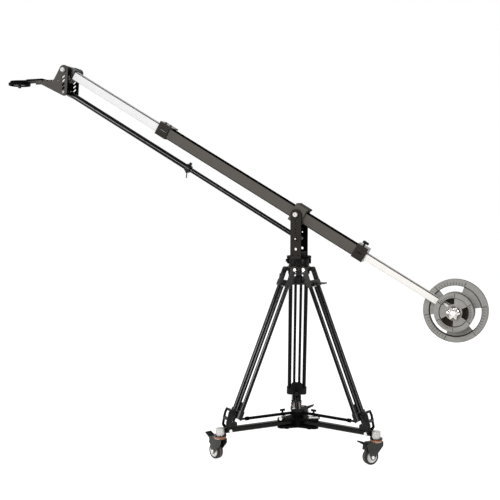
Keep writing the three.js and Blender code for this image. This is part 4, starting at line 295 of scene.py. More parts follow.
def finish(name, rgb, metal, rough, **look):
    """A material from one recipe. The options in look:

    grain is how many features of the fine noise fit in a metre, lines stretches them along X
    and tilt turns that direction. bump and depth are its relief, spread its part in the gloss.
    patch, patch_scale and second are the slow noise's strength, scale and other colour.
    wear and worn are how much the edges are rubbed and the colour below. shine is the specular
    level.
    """
    grain = look.get("grain", 900.0)
    material = bpy.data.materials.new(name)
    material.use_nodes = True
    nodes, links = material.node_tree.nodes, material.node_tree.links
    shader = nodes["Principled BSDF"]
    shader.inputs["Metallic"].default_value = metal
    shader.inputs["Specular IOR Level"].default_value = look.get("shine", 0.5)

    place = nodes.new("ShaderNodeTexCoord")
    level = nodes.new("ShaderNodeMapping")
    level.inputs["Rotation"].default_value = (0.0, -look.get("tilt", 0.0), 0.0)
    links.new(place.outputs["Object"], level.inputs["Vector"])
    stretch = nodes.new("ShaderNodeMapping")
    stretch.inputs["Scale"].default_value = (1.0 / look.get("lines", 1.0), 1.0, 1.0)
    links.new(level.outputs[0], stretch.inputs["Vector"])

    fine = nodes.new("ShaderNodeTexNoise")
    fine.inputs["Scale"].default_value = grain
    fine.inputs["Detail"].default_value = FINE_DETAIL
    links.new(stretch.outputs[0], fine.inputs["Vector"])
    slow = nodes.new("ShaderNodeTexNoise")
    slow.inputs["Scale"].default_value = look.get("patch_scale", 22.0)
    slow.inputs["Detail"].default_value = SLOW_DETAIL
    links.new(level.outputs[0], slow.inputs["Vector"])

    patch = look.get("patch", 0.12)
    tone = nodes.new("ShaderNodeValToRGB")
    tone.color_ramp.elements[0].position = NOISE_LOW
    tone.color_ramp.elements[0].color = colour_of(rgb, 1.0 - patch)
    tone.color_ramp.elements[1].position = NOISE_HIGH
    tone.color_ramp.elements[1].color = colour_of(look.get("second", rgb), 1.0 + patch)
    links.new(slow.outputs["Fac"], tone.inputs["Fac"])

    flat = nodes.new("ShaderNodeNewGeometry")
    rounded = nodes.new("ShaderNodeBevel")
    rounded.samples = EDGE_SAMPLES
    rounded.inputs["Radius"].default_value = EDGE_REACH
    alike = nodes.new("ShaderNodeVectorMath")
    alike.operation = "DOT_PRODUCT"
    links.new(flat.outputs["Normal"], alike.inputs[0])
    links.new(rounded.outputs[0], alike.inputs[1])
    convex = nodes.new("ShaderNodeMapRange")
    convex.inputs["From Min"].default_value = STILL_FLAT
    convex.inputs["From Max"].default_value = FULLY_TURNED
    convex.inputs["To Max"].default_value = look.get("wear", 0.35)
    links.new(alike.outputs["Value"], convex.inputs["Value"])
    broken = nodes.new("ShaderNodeMath")
    broken.operation = "MULTIPLY"
    links.new(convex.outputs[0], broken.inputs[0])
    links.new(slow.outputs["Fac"], broken.inputs[1])
    worn = nodes.new("ShaderNodeMix")
    worn.data_type = "RGBA"
    links.new(broken.outputs[0], worn.inputs["Factor"])
    links.new(tone.outputs["Color"], worn.inputs["A"])
    worn.inputs["B"].default_value = colour_of(look.get("worn", rgb), WORN_GAIN)
    links.new(worn.outputs["Result"], shader.inputs["Base Color"])

    spread = look.get("spread", 0.19)
    gloss = nodes.new("ShaderNodeMapRange")
    gloss.inputs["From Min"].default_value = NOISE_LOW
    gloss.inputs["From Max"].default_value = NOISE_HIGH
    gloss.inputs["To Min"].default_value = rough * (1.0 - spread)
    gloss.inputs["To Max"].default_value = min(1.0, rough * (1.0 + spread))
    links.new(fine.outputs["Fac"], gloss.inputs["Value"])
    links.new(gloss.outputs[0], shader.inputs["Roughness"])
    bump = nodes.new("ShaderNodeBump")
    bump.inputs["Strength"].default_value = look.get("bump", 0.15)
    bump.inputs["Distance"].default_value = look.get("depth", 0.0003)
    links.new(fine.outputs["Fac"], bump.inputs["Height"])
    links.new(bump.outputs[0], shader.inputs["Normal"])
    return material


# %% The crane's finishes
BRIGHT = (232, 230, 226)
graphite = finish("graphite_anodised", (92, 88, 84), 0.0, 0.5, lines=60.0, tilt=BOOM_TILT,
                  grain=1500.0, bump=0.01, worn=BRIGHT, patch=0.04, wear=0.1, shine=0.0)
drawn_alloy = finish("drawn_aluminium", (231, 231, 231), 0.0, 0.5, lines=80.0, tilt=BOOM_TILT,
                     grain=1200.0, bump=0.002, patch=0.02, wear=0.0, shine=0.01)
satin_steel = finish("satin_steel", (222, 220, 217), 0.0, 0.45, grain=1500.0, bump=0.01,
                     patch=0.03, wear=0.0, shine=0.01)
# Painted light: a lighter copy of the drawn aluminium for the rear section.
rear_alloy_painted_light = finish("drawn_aluminium_rear_painted_light", (246, 243, 238), 0.0, 0.5, lines=80.0,
                    tilt=BOOM_TILT, grain=1200.0, bump=0.002, patch=0.02, wear=0.0, shine=0.01)
# Painted reflection: a darker grey for the top corners of the drawn sections.
painted_corner_reflection = finish("drawn_corner_painted_reflection", (90, 90, 91), 0.0, 0.5, lines=80.0, tilt=BOOM_TILT,
                    grain=1200.0, bump=0.003, patch=0.05, wear=0.0, shine=0.01)
yoke_grey = finish("yoke_plate", (50, 47, 44), 0.0, 0.5, grain=1600.0, bump=0.03, worn=BRIGHT,
                   patch=0.06, wear=0.12, shine=0.01)
head_grey = finish("head_plate", (85, 82, 79), 0.0, 0.5, grain=2200.0, bump=0.03,
                   worn=BRIGHT, patch=0.05, wear=0.12, shine=0.01)
# Painted shade: a near-black colour for the plates' edges and inner faces, and for the boom's top
# and bottom.
painted_shade_black = finish("plate_and_corner_painted_shade", (12, 11, 11), 0.0, 0.5, grain=1600.0, bump=0.03,
                      worn=(120, 116, 110), patch=0.08, wear=0.1, shine=0.0)
powder_black = finish("powder_black", (12, 11, 10), 0.0, 0.3, grain=1100.0, bump=0.06,
                      patch=0.12, worn=(120, 112, 106), wear=0.18, shine=0.12)
anodised_black = finish("black_anodised", (6, 6, 6), 0.0, 0.16, grain=240.0, bump=0.0008,
                        patch=0.1, worn=(110, 106, 100), wear=0.06, shine=0.1,
                        spread=0.04)
matt_black = finish("matt_black", (8, 7, 7), 0.0, 0.55, grain=1300.0, bump=0.05, patch=0.1,
                    worn=(90, 86, 82), wear=0.15, shine=0.04)
satin_casting = finish("satin_casting", (17, 16, 15), 0.0, 0.3, grain=420.0, bump=0.08,
                       patch=0.2, worn=(170, 162, 154), wear=0.4, depth=0.0005, shine=0.16)
cast_black = finish("cast_black", (9, 8, 8), 0.0, 0.36, grain=520.0, bump=0.12, patch=0.15,
                    worn=(110, 106, 100), wear=0.2, depth=0.0005, shine=0.14)
moulded_black = finish("moulded_plastic", (8, 7, 7), 0.0, 0.42, grain=1300.0, bump=0.08,
                       patch=0.1, worn=(70, 68, 66), wear=0.15, shine=0.12)
turned_steel = finish("turned_steel", (220, 218, 214), 0.8, 0.25, grain=1500.0, bump=0.03,
                      patch=0.04, wear=0.1)
# The dark and light patches of the chrome are painted reflection.
polished_chrome = finish("polished_chrome", (92, 95, 104), 1.0, 0.1, grain=600.0, bump=0.02,
                         patch=0.25, patch_scale=80.0, second=(206, 201, 194), wear=0.05)
cast_iron = finish("weight_enamel", (154, 152, 148), 0.0, 0.4, grain=420.0, bump=0.12,
                   patch=0.10, worn=(118, 106, 96), wear=0.6, depth=0.0005, shine=0.1)
# Painted shade for the weights' slopes, round side, ribs and the web behind the small plate.
painted_shade_iron = finish("weight_painted_shade", (52, 45, 40), 0.0, 0.5, grain=420.0, bump=0.15, patch=0.2,
                     wear=0.1, depth=0.0005, shine=0.2)
zinc_fork = finish("zinc_fork", (33, 37, 33), 0.15, 0.38, grain=900.0, bump=0.05, patch=0.2,
                   second=(40, 42, 36), worn=BRIGHT, wear=0.3, shine=0.3)
bearing_brass = finish("bearing_brass", (146, 92, 62), 0.2, 0.4, grain=1200.0, bump=0.05,
                       patch=0.1, second=(158, 106, 74), wear=0.1)
socket_silver = finish("socket_silver", (194, 192, 189), 0.4, 0.35, grain=1200.0, bump=0.05,
                       patch=0.05, wear=0.1)
tyre_rubber = finish("tyre_rubber", (43, 38, 36), 0.0, 0.7, grain=1500.0, bump=0.2,
                     patch=0.12, worn=(110, 104, 100), wear=0.25, shine=0.3)
tread_grey = finish("tread_stripe", (101, 95, 92), 0.0, 0.7, grain=1500.0, bump=0.2,
                    patch=0.1, wear=0.2)
wheel_white = finish("wheel_core", (228, 226, 224), 0.0, 0.45, grain=900.0, bump=0.08,
                     patch=0.03, wear=0.1)
print("finishes:", len(bpy.data.materials))

# %% [markdown]
# ## Making pieces
#
# Three helpers make most shapes. `dress` takes a CAD piece that is already right and rounds its
# edges, because a real edge is never perfectly sharp and catches a thin line of light. `lathe`
# turns a profile round an axis for wheels, rings and knobs. `slab` gives an outline a thickness
# for lobed and flat pieces. A bevel modifier rounds whatever is left sharp.

# %% Helpers that all pieces share
SMOOTH_ANGLE = math.radians(38.0)
FLAT_ANGLE = math.radians(0.6)
WELD_DISTANCE = 1e-6


def smooth(piece):
    """Smooth shading, with a crease wherever two faces meet at a real edge."""
    piece.data.shade_smooth()
    piece.data.set_sharp_from_angle(angle=SMOOTH_ANGLE)


def round_edges(piece, width, steps):
    """A bevel on all edges that are sharper than the smoothing angle."""
    rounding = piece.modifiers.new("edges", "BEVEL")
    rounding.width = width
    rounding.segments = steps
    rounding.limit_method = "ANGLE"
    rounding.angle_limit = SMOOTH_ANGLE
    rounding.harden_normals = True


def add_piece(name, bm, place, body, material, stands_for=(), bevel=0.0, steps=2):
    """Puts a mesh in its place, with its finish, its body and the CAD nodes it stands for."""
    mesh = bpy.data.meshes.new(name)
    bmesh.ops.recalc_face_normals(bm, faces=bm.faces)
    bm.transform(place)
    bm.to_mesh(mesh)
    bm.free()
    piece = bpy.data.objects.new(name, mesh)
    bpy.context.collection.objects.link(piece)
    mesh.materials.append(material)
    smooth(piece)
    if bevel:
        round_edges(piece, bevel, steps)
    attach(piece, body)
    if stands_for:
        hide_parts(*stands_for)
    return piece


body_of_node = {
    node: body
    for body, members in frame["record"]["behaviour"]["bodies"].items()
    for node in members
}


def dress(node, material, bevel=0.0007, steps=2):
    """A copy of a CAD piece with its facets merged and its sharp edges rounded."""
    bm = bmesh.new()
    bm.from_mesh(frame["nodes"][node].data)
    bmesh.ops.remove_doubles(bm, verts=bm.verts, dist=WELD_DISTANCE)
    bmesh.ops.dissolve_limit(
        bm, angle_limit=FLAT_ANGLE, verts=bm.verts, edges=bm.edges, delimit={"NORMAL"}
    )
    return add_piece(node + "_body", bm, Matrix(), body_of_node[node], material,
                     [node], bevel, steps)


def paint(piece, material, test, place):
    """Gives another finish to the faces whose middle passes the test, in the place's own frame."""
    piece.data.materials.append(material)
    index = len(piece.data.materials) - 1
    back = place.inverted()
    count = 0
    for face in piece.data.polygons:
        if test(back @ face.center):
            face.material_index = index
            count += 1
    return count


# %% Turned and flat shapes
def lathe(points, segments=64):
    """A mesh turned about Z from [radius, height] points. The outline closes on itself."""
    bm = bmesh.new()
    rings = []
    for radius, height in points:
        if radius == 0:
            rings.append([bm.verts.new((0, 0, height))] * segments)
            continue
        angles = [k * math.tau / segments for k in range(segments)]
        rings.append([
            bm.verts.new((radius * math.cos(a), radius * math.sin(a), height)) for a in angles
        ])
    for low, high in zip(rings, rings[1:] + rings[:1]):
        for k in range(segments):
            n = (k + 1) % segments
            corners = list(dict.fromkeys([low[k], low[n], high[n], high[k]]))
            if len(corners) > 2:
                bm.faces.new(corners)
    return bm


def mirrored(half):
    """A whole profile from its lower half, for a piece that is alike on both sides."""
    return half + [(radius, -height) for radius, height in reversed(half)]


def slab(outline, low, high):
    """An outline in the XY plane, given a thickness along Z."""
    bm = bmesh.new()
    base = bm.faces.new([bm.verts.new((x, y, low)) for x, y in outline])
    grown = bmesh.ops.extrude_face_region(bm, geom=[base])
    raised = [item for item in grown["geom"] if isinstance(item, bmesh.types.BMVert)]
    bmesh.ops.translate(bm, verts=raised, vec=(0, 0, high - low))
    return bm


def arc(radius, start, end, steps, centre=(0.0, 0.0)):
    """Points on a circle, from one angle to another."""
    angles = [start + (end - start) * k / steps for k in range(steps + 1)]
    return [
        (centre[0] + radius * math.cos(a), centre[1] + radius * math.sin(a)) for a in angles
    ]


def merged(parts):
    """One mesh from several, each with its own place."""
    whole = bmesh.new()
    for part, place in parts:
        part.transform(place)
        mesh = bpy.data.meshes.new("part")
        part.to_mesh(mesh)
        part.free()
        whole.from_mesh(mesh)
        bpy.data.meshes.remove(mesh)
    return whole


def cut_with(piece, cutter_mesh, place):
    """Cuts a shape out of a piece and keeps the result as plain mesh."""
    mesh = bpy.data.meshes.new("cutter")
    cutter_mesh.transform(place)
    bmesh.ops.recalc_face_normals(cutter_mesh, faces=cutter_mesh.faces)
    cutter_mesh.to_mesh(mesh)
    cutter_mesh.free()
    cutter = bpy.data.objects.new("cutter", mesh)
    bpy.context.collection.objects.link(cutter)
    boolean = piece.modifiers.new("cut", "BOOLEAN")
    boolean.operation = "DIFFERENCE"
    boolean.solver = "EXACT"
    boolean.object = cutter
    bpy.context.view_layer.update()
    graph = bpy.context.evaluated_depsgraph_get()
    result = bpy.data.meshes.new_from_object(piece.evaluated_get(graph))
    piece.modifiers.remove(boolean)
    piece.data = result
    bpy.data.objects.remove(cutter)


# %% [markdown]
# ## Dolly and its arms
#
# The dolly is a painted steel casting with three box-section arms. Its edges are dressed, and
# the faces of the lock pins, bolt heads and front caster sockets get bright metal. The rear
# socket, which stands behind the hub, is black as painted shade. Painting faces is simpler here
# than making separate pins, because each of them is welded to its carrier.

# %% Dolly hub, arms and clamps
HUB_ROOF = 0.1618
PIN_FREE_RADIUS = 0.036
SOCKET_RADIUS = 0.0203
# Socket 1 is black: painted shade.
SOCKET_FINISH = {1: powder_black, 2: socket_silver, 3: socket_silver}
BOLT_FACE = 0.0256

hub = dress("dolly_hub", matt_black, 0.0009)
pins = paint(hub, turned_steel,
             lambda p: p.z > HUB_ROOF and math.hypot(p.x, p.y) > PIN_FREE_RADIUS, CRANE)
for number, spoke in enumerate(SPOKES, 1):
    arm = dress(f"dolly_arm_{number}", powder_black, 0.0007)
    paint(arm, turned_steel, lambda p: abs(p.y) > BOLT_FACE, spoke)
    paint(arm, SOCKET_FINISH[number],
          lambda p: math.hypot(p.x - CASTER_REACH, p.y) < SOCKET_RADIUS, spoke)
    dress(f"foot_clamp_{number}", powder_black, 0.0008)
print("pin faces painted:", pins)

# %% [markdown]
# ## Round skins
#
# The CAD tubes have twelve or eighteen flat sides. That is plenty for a physics model, but a real
# tube has none, so a thin smooth skin goes over each of them, a few hundredths of a millimetre
# proud.
# Replacing the tubes would mean making the castings that they run into again as well.

# %% Skins over the CAD tubes
SKIN = 0.00006
SKIN_WALL = 0.0006
SOCKET_SKIN, SOCKET_LOW, SOCKET_HIGH = 0.020, 0.1214, 0.1519


def skin(radius, low, high, place, segments=40):
    """A thin smooth pipe round a CAD tube that runs along the place's Z."""
    outside, inside = radius + SKIN, radius - SKIN_WALL
    part = lathe([(inside, low), (outside, low), (outside, high), (inside, high)], segments)
    return part, place


for number, spoke in enumerate(SPOKES, 1):
    upright = spoke @ move(CASTER_REACH, 0, 0)
    sleeve = merged([skin(SOCKET_SKIN, SOCKET_LOW, SOCKET_HIGH, upright)])
    add_piece(f"socket_sleeve_{number}", sleeve, Matrix(), "base",
              SOCKET_FINISH[number])

OUTER_TUBE = dict(radius=0.0098, low=-0.718, high=-0.0895, spacing=0.078, x=-0.001)
INNER_TUBE = dict(radius=0.0070, low=-0.7750, high=-0.0932, spacing=0.027, x=0.011)
for number, leg in enumerate(LEGS, 1):
    for kind, tube in (("outer", OUTER_TUBE), ("inner", INNER_TUBE)):
        pair = [
            skin(tube["radius"], tube["low"], tube["high"],
                 leg @ move(tube["x"], side * tube["spacing"] / 2, 0))
            for side in (-1, 1)
        ]
        add_piece(f"leg_{number}_{kind}_skins", merged(pair), Matrix(), "base",
                  anodised_black)
print("skins: 3 sockets, 12 leg tubes")

# %% [markdown]
# ## Casters
#
# Each caster has a pressed fork with a zinc finish, a brass-coloured bearing ring, a pale wheel
# core and a soft grey tyre with a lighter stripe. The wheel is turned from its real profile, with
# a groove on each side of the stripe, and the brake pedal gets ribs for the shoe.

# %% Wheels
WHEEL_RADIUS, WHEEL_HALF = 0.0375, 0.0150
RIM_RADIUS, STRIPE_HALF, GROOVE, GROOVE_DEPTH = 0.0270, 0.0035, 0.0009, 0.0010
TREAD_HALF, WALL_RADIUS = 0.0092, 0.0325
TYRE_PROFILE = mirrored([
    (RIM_RADIUS, -WHEEL_HALF), (WALL_RADIUS, -WHEEL_HALF), (0.0352, -0.0142),
    (0.0368, -0.0122), (WHEEL_RADIUS, -TREAD_HALF), (WHEEL_RADIUS, -STRIPE_HALF - GROOVE),
    (WHEEL_RADIUS - GROOVE_DEPTH, -STRIPE_HALF - GROOVE),
    (WHEEL_RADIUS - GROOVE_DEPTH, -STRIPE_HALF), (WHEEL_RADIUS, -STRIPE_HALF),
])
CORE_PROFILE = mirrored([
    (0.0044, -0.0166), (0.0100, -0.0166), (0.0108, -0.0105), (0.0130, -0.0098),
    (0.0225, -0.0104), (0.0245, -0.0140), (0.0271, -0.0146),
])
STRIPE_MARGIN, STRIPE_FLOOR = 0.0001, 0.0366


def on_stripe(p):
    """The raised band between the grooves, in the wheel's own place."""
    return abs(p.z) < STRIPE_HALF + STRIPE_MARGIN and math.hypot(p.x, p.y) > STRIPE_FLOOR


for number, caster in enumerate(CASTERS, 1):
    hub_place = caster @ move(CASTER_TRAIL, 0, WHEEL_RADIUS) @ LEVEL
    body = f"wheel_{number}"
    tyre = add_piece(f"tyre_{number}", lathe(TYRE_PROFILE, 72), hub_place, body,
                     tyre_rubber, [f"caster_wheel_{number}"], 0.0003)
    paint(tyre, tread_grey, on_stripe, hub_place)
    add_piece(f"wheel_core_{number}", lathe(CORE_PROFILE, 56), hub_place, body,
              wheel_white, bevel=0.0004)
print("wheels:", len(CASTERS), "of", len(TYRE_PROFILE), "profile points")

# %% Forks and pedals
RING_LOW, RING_HIGH, RACE_HIGH = 0.1061, 0.1160, 0.1211
RING_RADIUS, RACE_RADIUS, STEM_RADIUS = 0.0285, 0.0300, 0.02
RING_INSET, RACE_INSET = 0.0001, 0.0002
FORK_FACE = 0.0202
PEDAL_PIN = Vector((0.055, 0.0, 0.096))
PEDAL_TIP = Vector((0.095, 0.0, 0.114))
PEDAL_ROOT_RADIUS, PEDAL_TIP_RADIUS = 0.007, 0.003
RIB_RADIUS, RIB_HALF, RIB_COUNT = 0.0011, 0.0145, 5
RIBS_FROM, RIBS_SPAN = 0.42, 0.52

for number, caster in enumerate(CASTERS, 1):
    fork = dress(f"caster_fork_{number}", zinc_fork, 0.0006)
    paint(fork, bearing_brass,
          lambda p: RING_LOW < p.z < RING_HIGH and math.hypot(p.x, p.y) > STEM_RADIUS, caster)
    paint(fork, anodised_black, lambda p: p.z > RING_HIGH, caster)
    paint(fork, turned_steel, lambda p: abs(p.y) > FORK_FACE, caster)
    rings = merged([
        skin(RING_RADIUS, RING_LOW, RING_HIGH - RING_INSET, caster),
        skin(RACE_RADIUS, RING_HIGH, RACE_HIGH - RACE_INSET, caster),
    ])
    ring = add_piece(f"bearing_ring_{number}", rings, Matrix(), f"caster_swivel_{number}",
                     bearing_brass, bevel=0.0006)
    paint(ring, anodised_black, lambda p: p.z > RING_HIGH, caster)
    dress(f"brake_pedal_{number}", moulded_black, 0.0012, 3)
    along = PEDAL_TIP - PEDAL_PIN
    slope = math.atan2(along.z, along.x)
    ribs = []
    for k in range(RIB_COUNT):
        share = RIBS_FROM + RIBS_SPAN * k / (RIB_COUNT - 1)
        thick = PEDAL_ROOT_RADIUS + (PEDAL_TIP_RADIUS - PEDAL_ROOT_RADIUS) * share
        spot = PEDAL_PIN + along * share + Vector((-math.sin(slope), 0, math.cos(slope))) * thick
        bar = lathe([(0, -RIB_HALF), (RIB_RADIUS, -RIB_HALF), (RIB_RADIUS, RIB_HALF),
                     (0, RIB_HALF)], 12)
        ribs.append((bar, caster @ move(*spot) @ LEVEL))
    add_piece(f"pedal_ribs_{number}", merged(ribs), Matrix(), f"pedal_{number}",
              moulded_black, bevel=0.0003)
print("forks and pedals dressed, ribs on each pedal:", RIB_COUNT)

# %% [markdown]
# ## Tripod
#
# The legs are pairs of black anodised tubes in cast fittings. A casting has a rougher skin than
# a drawn tube, so the same piece gets two finishes: everything in the fittings' reach is cast
# metal, and the rest is tube.

# %% Legs, crown and spreader
LOWER_CASTING = -0.7175
FOOT_TOP = 0.2215
FOOT_START = 0.300
CASTING_EDGE = LOWER_CASTING + 0.02
BOLT_HEAD_FACE, BOLT_HEAD_RADIUS = 0.0501, 0.012
KNOB_FOOT = 0.1915

for number, (spoke, leg) in enumerate(zip(SPOKES, LEGS), 1):
    inner = dress(f"leg_{number}_inner_tubes", anodised_black, 0.0008)
    paint(inner, cast_black, lambda p: p.z < FOOT_TOP and p.x > FOOT_START, spoke)
    outer = dress(f"leg_{number}_outer_tubes", anodised_black, 0.0008)
    paint(outer, cast_black, lambda p: p.z < CASTING_EDGE, leg)
    top = dress(f"leg_{number}_top_casting", satin_casting, 0.0010)
    paint(top, turned_steel,
          lambda p: abs(p.y) > BOLT_HEAD_FACE and abs(p.z) < BOLT_HEAD_RADIUS, leg)
    dress(f"leg_lock_{number}", moulded_black, 0.0015, 3)
    rod = dress(f"spreader_arm_{number}", matt_black, 0.0006)
    paint(rod, moulded_black, lambda p: p.z > KNOB_FOOT, spoke)
dress("tripod_crown", satin_casting, 0.0010)
dress("spreader_hub", matt_black, 0.0015, 3)
print("legs dressed:", len(LEGS))

# %% [markdown]
# ## Pan base
#
# The boom turns on a short column that sits in the tripod's bowl. It is a turned part, so it is
# turned here too, with shallow rings where the two halves meet, and gets a flat ear on each
# side. Below the bowl, a fluted nut clamps it. Flutes are wide and shallow, so an outline with
# waves gives them at once.

# %% Pan base
PAN_RADIUS, PAN_TOP = 0.0520, 0.9460
PAN_PROFILE = [
    (0.0, 0.8240), (0.0150, 0.8240), (0.0150, 0.8930), (0.0462, 0.8930), (0.0498, 0.9080),
    (0.0498, 0.9110), (0.0507, 0.9118), (PAN_RADIUS, 0.9205), (PAN_RADIUS, 0.9262),
    (0.0508, 0.9268), (0.0508, 0.9280), (PAN_RADIUS, 0.9286), (PAN_RADIUS, PAN_TOP - 0.0012),
    (0.0508, PAN_TOP), (0.0120, PAN_TOP), (0.0120, 0.9560), (0.0, 0.9560),
]
NUT_LOW, NUT_HIGH = 0.8245, 0.8570
NUT_FLUTES, NUT_WAVE, NUT_MEAN = 12, 0.0012, 0.0337
NUT_STEPS = 144


def wavy(mean, wave, waves, steps):
    """A round outline with soft waves, for flutes, grips and lobes."""
    outline = []
    for k in range(steps):
        angle = k * math.tau / steps
        radius = mean + wave * math.cos(waves * angle)
        outline.append((radius * math.cos(angle), radius * math.sin(angle)))
    return outline


add_piece("pan_base_turned", lathe(PAN_PROFILE, 72), CRANE, "base",
          anodised_black, ["pan_base"], 0.0004)
nut_outline = wavy(NUT_MEAN, NUT_WAVE, NUT_FLUTES, NUT_STEPS)
add_piece("tie_down_nut", slab(nut_outline, NUT_LOW, NUT_HIGH), CRANE, "base",
          moulded_black, bevel=0.0030, steps=3)
dress("pan_lock_knob", moulded_black, 0.0012, 3)
print("flutes on the nut:", NUT_FLUTES)

# %% Ears on the pan base
EAR_TURNS = [math.radians(angle) for angle in (18.0, 198.0)]
EAR_IN, EAR_OUT, EAR_LOW, EAR_HIGH = 0.0460, 0.0590, 0.9215, 0.9450
EAR_HALF = 0.0120
EAR_ROOT_HALF = EAR_HALF * 1.3
ears = []
for angle in EAR_TURNS:
    outline = [(EAR_IN, -EAR_ROOT_HALF), (EAR_OUT, -EAR_HALF), (EAR_OUT, EAR_HALF),
               (EAR_IN, EAR_ROOT_HALF)]
    ears.append((slab(outline, EAR_LOW, EAR_HIGH), CRANE @ turn(angle, "Z")))
add_piece("pan_ears", merged(ears), Matrix(), "base", matt_black, bevel=0.0015)
print("ears:", len(ears))

# %% [markdown]
# ## Fasteners
#
# A machine like this is held by socket-head screws. Each head is a small turned cup with a
# chamfered rim, a flat top and a socket, which is round here because its six corners are too
# small to see. Only the head shows, so only the head is made, and the heads that belong together
# are one piece.

# %% Screw heads
HEAD_RADIUS, HEAD_HEIGHT, SOCKET_FLAT, SOCKET_DEPTH = 0.0040, 0.0034, 0.0020, 0.0020
HEAD_CHAMFER = 0.88


def screw_head(place, size=1.0):
    """A socket-head screw whose seat is at the place's origin and which points along its Z."""
    bm = lathe([
        (0.0, 0.0), (HEAD_RADIUS * size, 0.0),
        (HEAD_RADIUS * size, HEAD_HEIGHT * size * HEAD_CHAMFER),
        (HEAD_RADIUS * size * HEAD_CHAMFER, HEAD_HEIGHT * size),
        (SOCKET_FLAT * size, HEAD_HEIGHT * size),
        (SOCKET_FLAT * size, (HEAD_HEIGHT - SOCKET_DEPTH) * size),
        (0.0, (HEAD_HEIGHT - SOCKET_DEPTH) * size),
    ], 24)
    return bm, place


def add_screws(name, places, body, material, size=1.0):
    """Several screw heads of one body as one piece."""
    heads = merged([screw_head(place, size) for place in places])
    add_piece(name, heads, Matrix(), body, material)


NEAR = turn(math.pi / 2, "X")
FAR = turn(-math.pi / 2, "X")
SIDES = {"near": (NEAR, -1), "far": (FAR, 1)}
print("screw head", round(HEAD_RADIUS * 2000, 1), "mm wide")

# %% [markdown]
# ## Yoke
#
# Two plates stand on the pan base and hold the boom's pivot between them. Their outer faces are
# grey, and their edges and inner faces get a near-black painted shade. Small round plugs sit
# in some of the holes. The pivot is a turned axle, and its bright ends stick out of the plates
# with the small centre hole that every turned part has.

# %% Yoke
YOKE_OUTSIDE, PLATE_INSET = 0.0590, 0.0005
YOKE_SCREW_RISE, YOKE_SCREW_OUT = -0.1970, 0.0135
YOKE_AXLE_FLANGE, HEAD_AXLE_FLANGE = 0.0633, 0.0618
PLUG_DROPS = {"near": (0.0285, 0.0455, 0.0710, 0.0875), "far": (0.0285, 0.0455, 0.0710)}
PLUG_SINK, PLUG_SIZE = 0.0042, 0.97
NOSE_RADIUS, NOSE_LENGTH, CENTRE_HOLE = 0.01256, 0.0101, 0.0020
YOKE_NOSE_TIP, HEAD_NOSE_TIP, NOSE_SHOULDER = 0.01106, 0.0110, 0.0086
yoke_place = move(*pivot)


def axle_nose(tip_radius):
    """The turned end of an axle, with a chamfer and the small centre hole of the lathe."""
    return lathe([(0.0, 0.0), (NOSE_RADIUS, 0.0), (NOSE_RADIUS, NOSE_SHOULDER),
                  (tip_radius, NOSE_LENGTH), (CENTRE_HOLE, NOSE_LENGTH), (0.0, NOSE_SHOULDER)],
                 48)


dress("yoke_base", matt_black, 0.0009)
for side, (facing, sign) in SIDES.items():
    plate = dress(f"yoke_{side}_plate", yoke_grey, 0.0009, 3)
    # Painted shade: near black on the edges and the inner face.
    paint(plate, painted_shade_black, lambda p: sign * p.y < YOKE_OUTSIDE - PLATE_INSET, yoke_place)
    plugs = [
        yoke_place @ move(0, sign * (YOKE_OUTSIDE - PLUG_SINK), -drop) @ facing
        for drop in PLUG_DROPS[side]
    ]
    add_screws(f"yoke_{side}_plugs", plugs, "yoke", anodised_black, PLUG_SIZE)
dress("pivot_axle", anodised_black, 0.0008, 3)
noses = [(axle_nose(YOKE_NOSE_TIP), yoke_place @ move(0, sign * YOKE_AXLE_FLANGE, 0) @ facing)
         for facing, sign in SIDES.values()]
add_piece("pivot_axle_noses", merged(noses), Matrix(), "yoke", satin_steel,
          bevel=0.0003)
yoke_screws = []
for facing, sign in SIDES.values():
    for out in (-YOKE_SCREW_OUT, YOKE_SCREW_OUT):
        yoke_screws.append(yoke_place @ move(out, sign * YOKE_OUTSIDE, YOKE_SCREW_RISE) @ facing)
add_screws("yoke_screws", yoke_screws, "yoke", anodised_black)
print("yoke screws:", len(yoke_screws))

# %% [markdown]
# ## Boom
#
# The boom's three sections are square tubes with rounded corners, one inside the other. A square
# tube is its rounded outline, a smaller one for the hole, and faces between them, so its wall
# shows at the open ends. The top corners of the front and rear sections get a darker grey, a
# painted reflection, and the outer section gets a near-black painted shade above and below its
# flat sides.

# %% Square tubes
CORNER_STEPS = 5
LEAST_CORNER = 0.001


def rounded_box(width, height, corner):
    """The outline of a box with round corners."""
    outline = []
    for quarter, (sx, sy) in enumerate(((1, 1), (-1, 1), (-1, -1), (1, -1))):
        centre = (sx * (width / 2 - corner), sy * (height / 2 - corner))
        start = quarter * math.pi / 2
        outline += arc(corner, start, start + math.pi / 2, CORNER_STEPS, centre)
    return outline


def box_tube(low, high, width, height, wall, corner, drop=0.0, stations=2):
    """A rounded square tube along X from low to high, its middle a little below the axis."""
    bm = bmesh.new()
    outside = rounded_box(width, height, corner)
    inside = rounded_box(width - 2 * wall, height - 2 * wall, max(corner - wall, LEAST_CORNER))
    loops = []
    for outline in (outside, inside):
        rows = []
        for k in range(stations):
            x = low + (high - low) * k / (stations - 1)
            rows.append([bm.verts.new((x, y, z - drop)) for y, z in outline])
        loops.append(rows)
    outer, inner = loops
    count = len(outer[0])
    for n in range(count):
        m = (n + 1) % count
        for k in range(stations - 1):
            bm.faces.new([outer[k][n], outer[k][m], outer[k + 1][m], outer[k + 1][n]])
            bm.faces.new([inner[k][n], inner[k + 1][n], inner[k + 1][m], inner[k][m]])
        bm.faces.new([outer[0][n], inner[0][n], inner[0][m], outer[0][m]])
        bm.faces.new([outer[-1][n], outer[-1][m], inner[-1][m], inner[-1][n]])
    return bm


